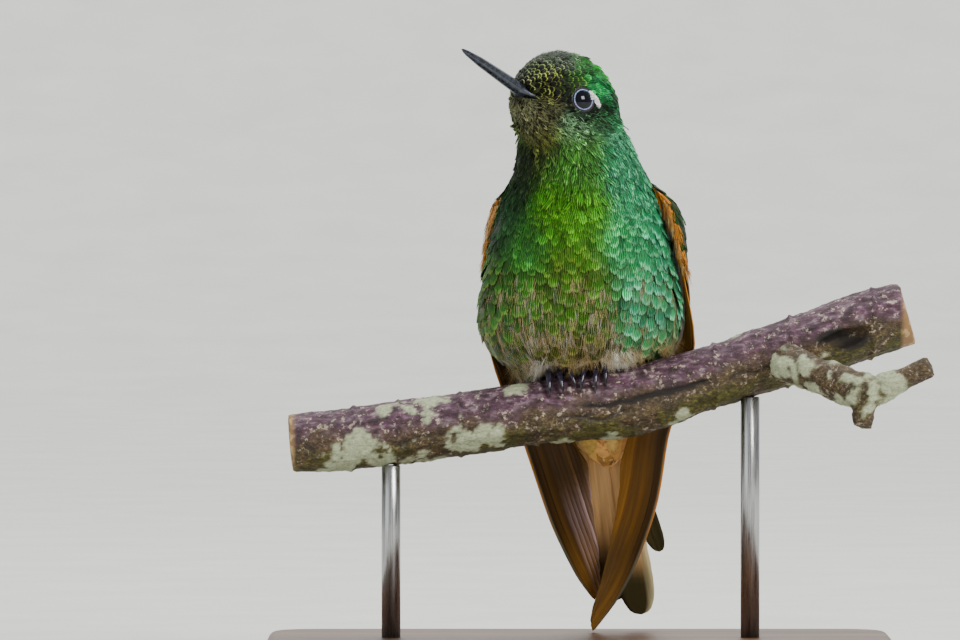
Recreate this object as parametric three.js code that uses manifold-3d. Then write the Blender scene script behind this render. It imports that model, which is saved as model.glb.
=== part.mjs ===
// A life-size still model of a buff-tailed coronet, a hummingbird, gripping a short cut length of
// branch that two rods carry above a flat base.
//
// Units are millimetres, +Z is up, and the bird's breast faces -Y. The origin is the centre of
// the base's underside. The bird and its perch are built in a frame of their own, whose origin
// lies on the axis of the branch between the feet, and one group lifts them onto the stand.
import * as THREE from "three";
import { mergeVertices } from "three/addons/utils/BufferGeometryUtils.js";
import Module from "manifold-3d";

const wasm = await Module();
wasm.setup();

// ---------------------------------------------------------------------------------------------
// Driving dimensions
// ---------------------------------------------------------------------------------------------
const GAP = 0.3; // clear space kept between neighbouring pieces
const CRUMB = 20; // a cut-off bit of the body with less volume than this is dropped, in mm3
const PERCH_HEIGHT = 42.5; // of the branch's axis above the table, between the feet

const BASE = { length: 100, depth: 62, thickness: 6, corner: 8, chamfer: 0.8 };
const ROD = { radius: 1.5, left: -30, right: 27, sides: 16 };

// The head looks to the bird's right of the body and upwards.
const HEAD = { centre: [-2.5, -6, 47.8], turn: 38, pitch: 21.5 };
const BILL = { root: 12, length: 15.5, drop: 1.6, rootRadius: 1.2, tipRadius: 0.34, split: 0.16 };
const EYE = { forward: 3.5, side: 5.2, up: -0.5, radius: 2.3, rim: 2.15, axis: 62 };

// The thin cuts between trunk, neck and head: their heights on the body's axis, and how many
// degrees they rise towards the back.
const PARTINGS = [
  { height: 34.8, tilt: 8 },
  { height: 42.3, tilt: 17 },
];

// Stations of the head, from the nape to the root of the bill, in millimetres from its centre.
const HEAD_STATIONS = [
  { at: -10.1, half: 0.5, top: 0.5, bottom: -0.5 },
  { at: -9.0, half: 4.0, top: 3.9, bottom: -4.3 },
  { at: -6.4, half: 6.4, top: 6.6, bottom: -7.2 },
  { at: -3.0, half: 7.6, top: 8.1, bottom: -8.7 },
  { at: 0.5, half: 7.9, top: 8.7, bottom: -8.9 },
  { at: 4.0, half: 7.2, top: 8.2, bottom: -8.3 },
  { at: 7.0, half: 5.8, top: 6.7, bottom: -7.2 },
  { at: 9.4, half: 4.2, top: 4.6, bottom: -5.7 },
  { at: 11.2, half: 2.7, top: 1.9, bottom: -4.4 },
  { at: 12.6, half: 1.4, top: -0.4, bottom: -2.9 },
];

// Stations of the neck and trunk, from inside the head down to the undertail coverts: how far
// the plumage reaches at each height towards the bird's right and left, front and back.
const BODY_STATIONS = [
  { height: 47.0, right: -8.0, left: 5.8, front: -11.5, back: 1.2 },
  { height: 43.0, right: -10.2, left: 8.0, front: -13.0, back: 3.2 },
  { height: 40.0, right: -10.4, left: 9.3, front: -13.3, back: 5.2 },
  { height: 37.0, right: -11.0, left: 10.8, front: -13.5, back: 7.4 },
  { height: 34.0, right: -12.3, left: 12.3, front: -13.8, back: 9.6 },
  { height: 30.0, right: -13.5, left: 13.5, front: -14.1, back: 11.6 },
  { height: 25.0, right: -14.7, left: 14.7, front: -14.1, back: 13.3 },
  { height: 19.0, right: -16.0, left: 16.0, front: -13.4, back: 14.6 },
  { height: 14.0, right: -16.5, left: 16.3, front: -12.0, back: 15.4 },
  { height: 10.5, right: -15.7, left: 15.7, front: -9.6, back: 15.8 },
  { height: 7.8, right: -13.6, left: 14.2, front: -6.2, back: 16.0 },
  { height: 5.4, right: -11.0, left: 12.6, front: -1.5, back: 16.3 },
  { height: 1.5, right: -8.0, left: 10.8, front: 3.8, back: 16.4 },
  { height: -3.0, right: -4.0, left: 9.4, front: 8.2, back: 17.0 },
  { height: -7.5, right: -0.2, left: 8.2, front: 10.8, back: 17.8 },
  { height: -10.3, right: 3.6, left: 5.6, front: 13.0, back: 15.4 },
];

// The leading edge of each folded wing, from the wrist to the tip.
const LEADING_EDGE = {
  left: [
    [12.6, -6.2, 36.4],
    [14.9, -5.0, 28.5],
    [17.0, -1.6, 19.5],
    [18.3, 2.8, 10.5],
    [16.7, 6.6, 3.4],
    [13.9, 9.4, -4.0],
    [12.1, 12.4, -14.4],
    [9.8, 14.6, -21.8],
    [6.7, 16.4, -29.0],
    [2.6, 17.8, -35.2],
  ],
  right: [
    [-11.0, -0.8, 35.4],
    [-13.0, 3.0, 29.5],
    [-14.2, 5.2, 23.5],
    [-15.2, 6.6, 16.5],
    [-14.4, 7.6, 9.5],
    [-11.7, 8.9, 1.8],
    [-8.4, 10.4, -5.8],
    [-4.4, 15.0, -17.2],
    [-2.2, 17.2, -22.3],
    [0.2, 19.4, -27.1],
    [2.3, 21.0, -30.4],
  ],
};
const WING_TWIST = { wrist: 12, tip: 82 }; // the chord's angle from straight back, in degrees
const WING_CLEARANCE = 0.75; // from the trunk to the middle of the innermost layer of the wing
const PRIMARIES = { count: 10, spacing: 0.62, margin: 0.75, relief: 0.12, thickness: 0.5 };
const SECONDARIES = { count: 5, spacing: 1.9, margin: 0.9, relief: 0.15, thickness: 0.5 };
const COVERTS = { from: -0.012, to: 0.2, front: -0.5, back: 12.4, swell: 0.65 };

// Shares of the wing between which it leaves the body, and how far behind its leading edge it
// lies close on the body.
const CLING = { from: 0.3, to: 0.55, chord: 7 };

const TAIL = {
  root: [1.5, 12.6, 3],
  tip: [7.5, 25.0, -33.4],
  pairs: 5,
  fan: 2.8, // how far the outermost pair's tips lie from the middle
  spread: 0.66, // sideways step from one pair to the next
  slip: 6.5, // how far the slipped feather lies from the middle
  half: 3.1,
  layer: 0.34,
  thickness: 0.55,
  shortening: 0.035, // of the length, from each pair to the next one inwards
};

// The branch: its axis and radius along its length.
const BRANCH_STATIONS = [
  { x: -46.0, y: 0.6, z: -5.6, radius: 4.6 },
  { x: -34.0, y: 0.3, z: -4.6, radius: 5.0 },
  { x: -22.0, y: 0.0, z: -3.0, radius: 5.0 },
  { x: -9.5, y: 0.0, z: -1.2, radius: 4.9 },
  { x: 0.0, y: 0.0, z: 0.0, radius: 5.25 },
  { x: 9.5, y: 0.0, z: 1.3, radius: 5.5 },
  { x: 20.8, y: 0.2, z: 5.0, radius: 4.9 },
  { x: 31.0, y: 0.4, z: 8.0, radius: 5.1 },
  { x: 42.0, y: 0.4, z: 12.0, radius: 5.4 },
  { x: 52.0, y: 0.2, z: 14.9, radius: 5.1 },
];
const BARK_WAVES = { rib: 0.12, ring: 0.1 }; // heights of the waves round and along the bark
const BUD_SWELLINGS = [
  { along: 0.3, towards: -100, reach: 0.03, height: 0.5 },
  { along: 0.74, towards: 100, reach: 0.03, height: 0.5 },
];
const KNOTHOLE = { centre: [41.6, -5.0, 10.9], half: [4.8, 2.6, 1.7], tilt: 20 };
const TWIG = [
  { at: [32.0, -6.4, 7.6], radius: 3.2 },
  { at: [37.0, -10.5, 5.6], radius: 2.8 },
  { at: [42.5, -14.6, 3.6], radius: 3.0 },
  { at: [46.5, -17.4, 2.6], radius: 2.4 },
];
const TWIG_STUBS = [
  { from: [44.6, -16.0, 3.0], to: [44.2, -17.6, -2.4], radius: 2.1, end: 1.7 },
  { from: [46.0, -17.0, 2.8], to: [54.8, -19.6, 7.0], radius: 2.2, end: 1.8 },
];

// Each foot: its place along the branch, and for each front toe how far it spreads.
const FEET = {
  left: { x: 2.75, spread: [-1.5, -0.2, 1.2], claws: [-1.3, -0.2, 0.1], reach: [62, 68, 57] },
  right: { x: -3.9, spread: [-1.2, 0, 1.2], claws: [0.3, 1.3, 2.1], reach: [63, 62, 52] },
};
const TOE = { radius: 0.44, from: -24, to: 12, hallux: 58 };
const CLAW = { root: 0.42, tip: 0.2, arch: 0.5 };
const BARK_RELIEF = 0.25; // how far the bark stands above the branch's stated radius
const LEG = { radius: 2.0, ankle: 0.85, height: 6, back: 1.5, splay: 1.25 };
const HOLLOW = { along: 3.0, front: 6.0, high: 1.7 }; // half sizes of the room round a foot

// ---------------------------------------------------------------------------------------------
// Making and joining solids
// ---------------------------------------------------------------------------------------------
const radians = THREE.MathUtils.degToRad;
const lerp = THREE.MathUtils.lerp;
const vector = (list) => new THREE.Vector3(...list);

// A closed three.js geometry as a solid, with each of its points moved by place.
function solidFrom(geometry, place = (point) => point) {
  geometry.deleteAttribute("normal");
  geometry.deleteAttribute("uv");
  const merged = mergeVertices(geometry, 1e-5);
  const points = merged.attributes.position;
  for (let i = 0; i < points.count; i++) {
    const moved = place(new THREE.Vector3().fromBufferAttribute(points, i));
    points.setXYZ(i, moved.x, moved.y, moved.z);
  }
  const corners = merged.index.array;
  const triangles = [];
  for (let i = 0; i < corners.length; i += 3) {
    const [a, b, c] = corners.slice(i, i + 3);
    if (a !== b && b !== c && c !== a) triangles.push(a, b, c);
  }
  const build = (triVerts) =>
    new wasm.Manifold(
      new wasm.Mesh({ numProp: 3, vertProperties: points.array, triVerts: new Uint32Array(triVerts) }),
    );
  const made = build(triangles);
  return made.volume() > 0 ? made : build(triangles.reverse());
}

const union = (solids) => solids.reduce((all, next) => all.add(next));

// The largest body of a solid, without the crumbs that a cut can leave.
function mainBody(solid) {
  const bodies = solid.decompose();
  return bodies.reduce((best, next) => (next.volume() > best.volume() ? next : best));
}

// A tube closed at both ends. place(t, angle, reach) gives the point at the share t of its
// length, where reach is 0 on the axis and 1 on the surface.
function tube(steps, sides, place) {
  const profile = [new THREE.Vector2(0, 0)];
  for (let i = 0; i <= steps; i++) profile.push(new THREE.Vector2(1, i / steps));
  profile.push(new THREE.Vector2(0, 1));
  return solidFrom(new THREE.LatheGeometry(profile, sides), (point) =>
    place(point.y, Math.atan2(point.x, point.z), Math.hypot(point.x, point.z)),
  );
}

// Two directions square to a curve at t, the second as near to up as it can be.
function squareTo(tangent, up) {
  const across = new THREE.Vector3().crossVectors(tangent, up).normalize();
  return [across, new THREE.Vector3().crossVectors(across, tangent).normalize()];
}

// A round tube along a curve, with radiusAt(t, angle).
function limb(curve, radiusAt, steps, sides, up = new THREE.Vector3(0, 0, 1)) {
  return tube(steps, sides, (t, angle, reach) => {
    const [across, over] = squareTo(curve.getTangent(t), up);
    const radius = reach * radiusAt(t, angle);
    return curve
      .getPoint(t)
      .addScaledVector(across, radius * Math.cos(angle))
      .addScaledVector(over, radius * Math.sin(angle));
  });
}

// A smooth curve through points, which passes the i-th of n at t = i / (n - 1).
const curveThrough = (points) => new THREE.CatmullRomCurve3(points, false, "catmullrom", 0.5);

// A flat vane on a surface at(t, chord, lift), from its root to a rounded tip.
function vane(surface, spec) {
  const { root, tip, half, lift, thickness, steps, blunt } = spec;
  return solidFrom(new THREE.BoxGeometry(2, 1, 1, 1, steps, 1), (point) => {
    const share = Math.sin(((point.y + 0.5) * Math.PI) / 2);
    const width = half * Math.min(1, 0.45 + 2.2 * share) * Math.sqrt(1 - share ** blunt) + 0.22;
    const chord = lerp(root.chord, tip.chord, share) + point.x * width;
    return surface(lerp(root.t, tip.t, share), chord, lift + point.z * thickness);
  });
}

// ---------------------------------------------------------------------------------------------
// Head and body
// ---------------------------------------------------------------------------------------------
const headCentre = vector(HEAD.centre);
const turn = radians(HEAD.turn);
const pitch = radians(HEAD.pitch);
const headForward = new THREE.Vector3(
  -Math.sin(turn) * Math.cos(pitch),
  -Math.cos(turn) * Math.cos(pitch),
  Math.sin(pitch),
);
const headLeft = new THREE.Vector3(Math.cos(turn), -Math.sin(turn), 0);
const headUp = new THREE.Vector3().crossVectors(headForward, headLeft);

const inHead = (forward, left, up) =>
  headCentre
    .clone()
    .addScaledVector(headForward, forward)
    .addScaledVector(headLeft, left)
    .addScaledVector(headUp, up);

function headSolid() {
  const widths = curveThrough(HEAD_STATIONS.map((s) => new THREE.Vector3(s.at, s.half, 0)));
  const heights = curveThrough(HEAD_STATIONS.map((s) => new THREE.Vector3(s.at, s.top, s.bottom)));
  return tube(15, 18, (t, angle, reach) => {
    const wide = widths.getPoint(t);
    const high = heights.getPoint(t);
    const middle = (high.y + high.z) / 2;
    return inHead(
      wide.x,
      reach * wide.y * Math.sin(angle),
      middle + (reach * (high.y - high.z) * Math.cos(angle)) / 2,
    );
  });
}

const bodySides = curveThrough(
  BODY_STATIONS.map((s) => new THREE.Vector3(s.right, s.left, s.height)),
);
const bodyDepths = curveThrough(
  BODY_STATIONS.map((s) => new THREE.Vector3(s.front, s.back, s.height)),
);

// The level ellipse of the body at the share t of the way down its stations.
function bodySection(t) {
  const side = bodySides.getPoint(t);
  const depth = bodyDepths.getPoint(t);
  return {
    height: side.z,
    x: (side.x + side.y) / 2,
    y: (depth.x + depth.y) / 2,
    halfWidth: (side.y - side.x) / 2,
    halfDepth: (depth.y - depth.x) / 2,
  };
}

function bodySolid() {
  return tube(18, 18, (t, angle, reach) => {
    const section = bodySection(t);
    return new THREE.Vector3(
      section.x + reach * section.halfWidth * Math.cos(angle),
      section.y + reach * section.halfDepth * Math.sin(angle),
      section.height,
    );
  });
}

// A point moved level with the body's axis until it keeps the clearance from the body, or comes
// in to it by the share cling, and the direction straight out of the body there.
function besideBody(point, clearance, cling) {
  let low = 0;
  let high = 1;
  for (let i = 0; i < 20; i++) {
    const middle = (low + high) / 2;
    if (bodySection(middle).height > point.z) low = middle;
    else high = middle;
  }
  const section = bodySection(low);
  const halfWidth = section.halfWidth + clearance;
  const halfDepth = section.halfDepth + clearance;
  const offset = new THREE.Vector3(point.x - section.x, point.y - section.y, 0);
  const away = Math.hypot(offset.x / halfWidth, offset.y / halfDepth);
  const share = away < 1 ? 1 : cling;
  const below = point.z < section.height - 0.1;
  const move = below ? 0 : share * (1 / away - 1);
  const out = new THREE.Vector3(offset.x / halfWidth ** 2, offset.y / halfDepth ** 2, 0).normalize();
  return { point: point.clone().addScaledVector(offset, move), out };
}

// A thin slab that parts the body across its height.
function partingSlab(height, tilt) {
  const slab = new THREE.BoxGeometry(60, 60, GAP);
  slab.rotateX(radians(tilt));
  slab.translate(0, 0, height);
  return solidFrom(slab);
}

// An eyeball.
function eyeSolid(side) {
  const ball = new THREE.SphereGeometry(EYE.radius, 14, 8);
  const centre = inHead(EYE.forward, side * EYE.side, EYE.up);
  ball.translate(centre.x, centre.y, centre.z);
  return solidFrom(ball);
}

// Its socket: round the ball, narrower at the rim of the lids and flared through the feathers.
function socketSolid(side) {
  const axis = new THREE.Vector3()
    .addScaledVector(headForward, Math.cos(radians(EYE.axis)))
    .addScaledVector(headLeft, side * Math.sin(radians(EYE.axis)));
  const wide = EYE.radius + GAP + 0.1;
  const profile = [
    [0, -wide],
    [wide, -wide],
    [wide, 0.8],
    [EYE.rim, 1.5],
    [EYE.rim + 1, 4],
    [0, 4],
  ];
  const socket = new THREE.LatheGeometry(
    profile.map(([radius, depth]) => new THREE.Vector2(radius, depth)),
    12,
  );
  socket.applyQuaternion(new THREE.Quaternion().setFromUnitVectors(new THREE.Vector3(0, 1, 0), axis));
  const centre = inHead(EYE.forward, side * EYE.side, EYE.up);
  socket.translate(centre.x, centre.y, centre.z);
  return solidFrom(socket);
}

// The bill, whole. Its mandibles part along a thin slab below its middle.
function billSolid() {
  const line = new THREE.LineCurve3(
    inHead(BILL.root + 0.9, 0, -BILL.drop),
    inHead(BILL.root + BILL.length, 0, -BILL.drop),
  );
  const taper = (t) => lerp(BILL.rootRadius, BILL.tipRadius, t ** 0.8);
  return limb(line, taper, 8, 10, headUp);
}

function billHalves() {
  const slab = new THREE.BoxGeometry(60, 60, BILL.split);
  const frame = new THREE.Matrix4().makeBasis(headForward, headLeft, headUp);
  frame.setPosition(inHead(BILL.root, 0, -BILL.drop - 0.12));
  slab.applyMatrix4(frame);
  const above = (solid) => solid.boundingBox().max[2];
  return billSolid()
    .subtract(solidFrom(slab))
    .decompose()
    .sort((a, b) => above(b) - above(a));
}

// ---------------------------------------------------------------------------------------------
// Wings
// ---------------------------------------------------------------------------------------------
// A wing's surface: from the leading edge the chord runs back and inwards, more and more
// inwards towards the tip, and lift is measured outwards from the body.
function wingSurface(side) {
  const inwards = side === "left" ? -1 : 1;
  const edge = new THREE.CatmullRomCurve3(LEADING_EDGE[side].map(vector));
  return (t, chord, lift) => {
    const along = THREE.MathUtils.clamp(t, 0, 1);
    const twist = radians(
      lerp(WING_TWIST.wrist, WING_TWIST.tip, THREE.MathUtils.smoothstep(along, 0.1, 0.62)),
    );
    const tangent = edge.getTangentAt(along);
    const back = new THREE.Vector3(inwards * Math.sin(twist), Math.cos(twist), 0);
    back.addScaledVector(tangent, -back.dot(tangent)).normalize();
    const out = new THREE.Vector3().crossVectors(tangent, back).multiplyScalar(-inwards);
    const flat = edge
      .getPointAt(along)
      .addScaledVector(tangent, edge.getLength() * (t - along))
      .addScaledVector(back, chord);
    const near = 1 - THREE.MathUtils.smoothstep(along, CLING.from, CLING.to);
    const cling = near * THREE.MathUtils.smoothstep(chord, 0, CLING.chord);
    const beside = besideBody(flat, WING_CLEARANCE, cling);
    return beside.point.addScaledVector(out.lerp(beside.out, cling).normalize(), lift);
  };
}

// Vanes that overlap like shingles, as one stepped sheet: two columns of the sheet to a vane,
// one along its shaft out to its tip and one down the notch beside it.
function vaneSheet(surface, vanes, sheet) {
  const columns = 2 * vanes.length;
  const ends = Array.from({ length: columns + 1 }, (_, column) => {
    const place = (column - 1) / 2;
    const outer = vanes[Math.max(0, Math.floor(place))];
    const inner = vanes[Math.min(vanes.length - 1, Math.ceil(place))];
    const onShaft = column % 2 === 1;
    const edge = column === 0 ? -sheet.margin : column === columns ? sheet.margin : 0;
    return {
      rootT: outer.root.t,
      tipT: onShaft ? outer.tip.t : lerp(inner.tip.t, outer.tip.t, 0.12) - (edge ? 0.02 : 0),
      rootChord: (outer.root.chord + inner.root.chord) / 2 + edge,
      tipChord: (outer.tip.chord + inner.tip.chord) / 2 + edge * 0.7,
      relief: onShaft ? sheet.relief : 0,
    };
  });
  const box = new THREE.BoxGeometry(columns, 1, 1, columns, sheet.steps, 1);
  return solidFrom(box, (point) => {
    const end = ends[Math.round(point.x + columns / 2)];
    const share = point.y + 0.5;
    return surface(
      lerp(end.rootT, end.tipT, share),
      lerp(end.rootChord, end.tipChord, share),
      sheet.lift + end.relief + point.z * sheet.thickness,
    );
  });
}

function primarySheet(surface) {
  const vanes = Array.from({ length: PRIMARIES.count }, (_, i) => ({
    root: { t: COVERTS.to + 0.004, chord: 1.0 + 0.5 * i },
    tip: { t: 1 - 0.004 * i - 0.0044 * i ** 2, chord: 0.6 + PRIMARIES.spacing * i },
  }));
  return vaneSheet(surface, vanes, { ...PRIMARIES, lift: 0, steps: 9 });
}

const secondaryLift =
  PRIMARIES.relief + (PRIMARIES.thickness + SECONDARIES.thickness) / 2 + GAP;

function secondarySheet(surface) {
  const vanes = Array.from({ length: SECONDARIES.count }, (_, i) => ({
    root: { t: COVERTS.to + 0.004, chord: 2.6 + 1.9 * i },
    tip: { t: 0.44 - 0.022 * i, chord: 2.6 + SECONDARIES.spacing * i },
  }));
  return vaneSheet(surface, vanes, { ...SECONDARIES, lift: secondaryLift, steps: 5 });
}

// The coverts of the arm and wrist: a padded plate as thick as the vanes that it ends against.
function covertSolid(surface) {
  const bottom = -PRIMARIES.thickness / 2;
  const top = secondaryLift + SECONDARIES.relief + SECONDARIES.thickness / 2;
  return solidFrom(new THREE.BoxGeometry(2, 1, 1, 5, 6, 1), (point) => {
    const along = point.y + 0.5;
    const wrist = Math.sqrt(1 - (1 - Math.min(1, along / 0.7)) ** 2 * 0.97);
    const chord = lerp(3.4, lerp(COVERTS.front, COVERTS.back, (point.x + 1) / 2), wrist);
    const across = 1 - 0.55 * point.x ** 4;
    const swell = wrist * across * (1 + COVERTS.swell * Math.sin(Math.PI * along));
    const outer = bottom + Math.max(0.5, (top - bottom) * swell);
    return surface(lerp(COVERTS.from, COVERTS.to, along), chord, point.z < 0 ? bottom : outer);
  });
}

function wingParts(side, clear) {
  const surface = wingSurface(side);
  return {
    primaries: mainBody(primarySheet(surface).subtract(clear)),
    secondaries: mainBody(secondarySheet(surface).subtract(clear)),
    coverts: covertSolid(surface),
  };
}

// ---------------------------------------------------------------------------------------------
// Tail
// ---------------------------------------------------------------------------------------------
function tailSurface() {
  const root = vector(TAIL.root);
  const run = vector(TAIL.tip).sub(root);
  const down = run.clone().normalize();
  const across = new THREE.Vector3(1, 0, 0).addScaledVector(down, -down.x).normalize();
  const back = new THREE.Vector3().crossVectors(across, down);
  if (back.y < 0) back.negate();
  return (t, chord, lift) =>
    root
      .clone()
      .addScaledVector(run, t)
      .addScaledVector(across, chord)
      .addScaledVector(back, lift);
}

// Ten tail feathers. The outermost pair is the longest and lies nearest the belly side; the
// left feather of the innermost, shortest pair has slipped out past the others.
function tailSolid() {
  const surface = tailSurface();
  const vanes = [];
  for (let pair = 0; pair < TAIL.pairs; pair++) {
    for (const side of [-1, 1]) {
      const inner = pair === TAIL.pairs - 1;
      const slipped = inner && side > 0;
      const chord = slipped ? TAIL.slip : side * (TAIL.fan - TAIL.spread * pair);
      vanes.push(
        vane(surface, {
          root: { t: 0, chord: side * 0.5 },
          tip: { t: 1 - TAIL.shortening * pair - (inner ? 0.13 : 0), chord },
          half: inner ? TAIL.half - 0.6 : TAIL.half,
          lift: (2 * pair + (side + 1) / 2) * TAIL.layer * 0.5 - 0.8,
          thickness: TAIL.thickness,
          steps: 5,
          blunt: 7,
        }),
      );
    }
  }
  return union(vanes);
}

// The room that the tail takes up among the pieces round it.
function tailSleeve() {
  const surface = tailSurface();
  const stack = TAIL.pairs * TAIL.layer + TAIL.thickness;
  return solidFrom(new THREE.BoxGeometry(2, 1, 1, 1, 3, 1), (point) => {
    const t = point.y + 0.5;
    const half = lerp(TAIL.half + 1, TAIL.half + TAIL.slip, t) + GAP;
    return surface(lerp(-0.05, 1.02, t), point.x * half, point.z * (stack + 2 * GAP) - 0.1);
  });
}

// ---------------------------------------------------------------------------------------------
// Perch
// ---------------------------------------------------------------------------------------------
const branchAxis = curveThrough(BRANCH_STATIONS.map((s) => new THREE.Vector3(s.x, s.y, s.z)));
const branchRadii = curveThrough(BRANCH_STATIONS.map((s) => new THREE.Vector3(s.radius, 0, 0)));

function branchSolid() {
  const swelling = (t, angle, bud) => {
    const near = Math.exp(-(((t - bud.along) / bud.reach) ** 2));
    return bud.height * near * Math.max(0, Math.cos(angle - radians(bud.towards))) ** 2;
  };
  const radius = (t, angle) =>
    branchRadii.getPoint(t).x +
    BARK_WAVES.rib * Math.sin(3 * angle + 9 * t) +
    BARK_WAVES.ring * Math.sin(40 * t + angle) +
    BUD_SWELLINGS.reduce((sum, bud) => sum + swelling(t, angle, bud), 0);
  return limb(branchAxis, radius, 24, 12);
}

// A plain round bar a little thicker than the branch, which clears the pieces round it.
function branchClearance(clearance) {
  return limb(branchAxis, (t) => branchRadii.getPoint(t).x + clearance, 9, 12);
}

// The height and radius of the branch at a place along X.
function branchAt(x) {
  const length = BRANCH_STATIONS.at(-1).x - BRANCH_STATIONS[0].x;
  let t = 0.5;
  for (let i = 0; i < 12; i++) t += (x - branchAxis.getPoint(t).x) / length;
  return { height: branchAxis.getPoint(t).z, radius: branchRadii.getPoint(t).x };
}

function knotholeSolid() {
  const hole = new THREE.SphereGeometry(1, 10, 6);
  hole.scale(...KNOTHOLE.half);
  hole.rotateY(radians(-KNOTHOLE.tilt));
  hole.translate(...KNOTHOLE.centre);
  return solidFrom(hole);
}

function twigSolid() {
  const axis = curveThrough(TWIG.map((s) => vector(s.at)));
  const radii = curveThrough(TWIG.map((s) => new THREE.Vector3(s.radius, 0, 0)));
  const stem = limb(
    axis,
    (t, angle) => radii.getPoint(t).x * (1 + 0.06 * Math.sin(21 * t + 2 * angle)),
    7,
    9,
  );
  const stubs = TWIG_STUBS.map((stub) =>
    limb(
      new THREE.LineCurve3(vector(stub.from), vector(stub.to)),
      (t, angle) => lerp(stub.radius, stub.end, t) * (1 + 0.08 * Math.cos(2 * angle + 5 * t)),
      3,
      7,
      new THREE.Vector3(0, 1, 0.2),
    ),
  );
  return union([stem, ...stubs]);
}

// ---------------------------------------------------------------------------------------------
// Legs and feet
// ---------------------------------------------------------------------------------------------
// A point on the branch at x, turned from its top towards the front, at a height above the bark.
function onBranch(x, degrees, above) {
  const { height, radius } = branchAt(x);
  const angle = radians(degrees);
  const reach = radius + above;
  return new THREE.Vector3(x, -reach * Math.sin(angle), height + reach * Math.cos(angle));
}

// A tapering tube laid over the branch between two places and two angles.
function wrapped(from, to, radiusAt, steps, sides) {
  const points = Array.from({ length: 5 }, (_, i) => {
    const share = i / 4;
    const arch = (to.arch ?? 0) * Math.sin(Math.PI * share);
    return onBranch(
      lerp(from.x, to.x, share),
      lerp(from.degrees, to.degrees, share),
      lerp(from.above, to.above, share) + arch,
    );
  });
  return limb(new THREE.CatmullRomCurve3(points), radiusAt, steps, sides, new THREE.Vector3(1, 0, 0));
}

function footParts(side) {
  const foot = FEET[side];
  const parts = {};
  const lift = TOE.radius + GAP;
  foot.spread.forEach((spread, i) => {
    const knuckle = foot.x + spread;
    parts[`toe_${side}_${i + 1}`] = wrapped(
      { x: foot.x + 0.88 * spread, degrees: TOE.from, above: lift },
      { x: knuckle, degrees: TOE.to, above: lift },
      (t) => TOE.radius * (0.92 + 0.16 * Math.cos(4 * Math.PI * t)),
      4,
      6,
    );
    parts[`claw_${side}_${i + 1}`] = wrapped(
      { x: knuckle, degrees: TOE.to + 4, above: lift },
      {
        x: knuckle + foot.claws[i],
        degrees: foot.reach[i],
        above: CLAW.tip + 0.12,
        arch: CLAW.arch,
      },
      (t) => lerp(CLAW.root, CLAW.tip, t),
      5,
      5,
    );
  });
  parts[`toe_${side}_4`] = wrapped(
    { x: foot.x, degrees: TOE.from - 11, above: lift },
    { x: foot.x - 0.2, degrees: -TOE.hallux, above: lift },
    () => TOE.radius,
    4,
    6,
  );
  parts[`claw_${side}_4`] = wrapped(
    { x: foot.x - 0.2, degrees: -TOE.hallux - 4, above: lift },
    { x: foot.x - 0.2, degrees: -TOE.hallux - 34, above: CLAW.tip + 0.12, arch: 0.2 },
    (t) => lerp(CLAW.root, CLAW.tip, t),
    4,
    5,
  );
  return parts;
}

// The feathered thigh and shank, which come down through the belly plumage to the toes.
function legSolid(side, grow = 0) {
  const x = FEET[side].x;
  const ankle = onBranch(x, -2, 2 * TOE.radius + 2 * GAP + LEG.ankle);
  const thigh = new THREE.Vector3(x * LEG.splay, LEG.back, ankle.z + LEG.height);
  return limb(
    new THREE.LineCurve3(thigh, ankle),
    (t) => lerp(LEG.radius, LEG.ankle, t ** 1.5) + grow,
    3,
    8,
    new THREE.Vector3(0, 1, 0),
  );
}

// The hollow in the belly plumage that a foot fills: round the front toes, and a channel for the
// hind one.
function footHollow(side) {
  const { x } = FEET[side];
  const centre = onBranch(x, -8, 0.7);
  const front = new THREE.SphereGeometry(1, 10, 6);
  front.scale(HOLLOW.along, HOLLOW.front, HOLLOW.high);
  front.translate(centre.x, centre.y, centre.z);
  const channel = wrapped(
    { x, degrees: TOE.from, above: 0.4 },
    { x, degrees: -TOE.hallux - 42, above: 0.4 },
    () => 2 * TOE.radius + GAP,
    4,
    6,
  );
  return solidFrom(front).add(channel);
}

// ---------------------------------------------------------------------------------------------
// Stand
// ---------------------------------------------------------------------------------------------
function baseSolid() {
  const { length, depth, thickness, corner, chamfer } = BASE;
  const outline = new THREE.Shape();
  const x = length / 2 - chamfer;
  const y = depth / 2 - chamfer;
  outline.moveTo(-x + corner, -y);
  outline.lineTo(x - corner, -y);
  outline.absarc(x - corner, -y + corner, corner, -Math.PI / 2, 0);
  outline.absarc(x - corner, y - corner, corner, 0, Math.PI / 2);
  outline.absarc(-x + corner, y - corner, corner, Math.PI / 2, Math.PI);
  outline.absarc(-x + corner, -y + corner, corner, Math.PI, 1.5 * Math.PI);
  const plate = new THREE.ExtrudeGeometry(outline, {
    depth: thickness - 2 * chamfer,
    bevelThickness: chamfer,
    bevelSize: chamfer,
    bevelSegments: 1,
    curveSegments: 4,
  });
  plate.translate(0, 0, chamfer);
  return solidFrom(plate);
}

function rodSolid(x) {
  const foot = new THREE.Vector3(x, 0, BASE.thickness + GAP / 2);
  const { height } = branchAt(x);
  const head = new THREE.Vector3(x, 0, PERCH_HEIGHT + height);
  return limb(
    new THREE.LineCurve3(foot, head),
    () => ROD.radius,
    1,
    ROD.sides,
    new THREE.Vector3(0, 1, 0),
  );
}

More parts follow.
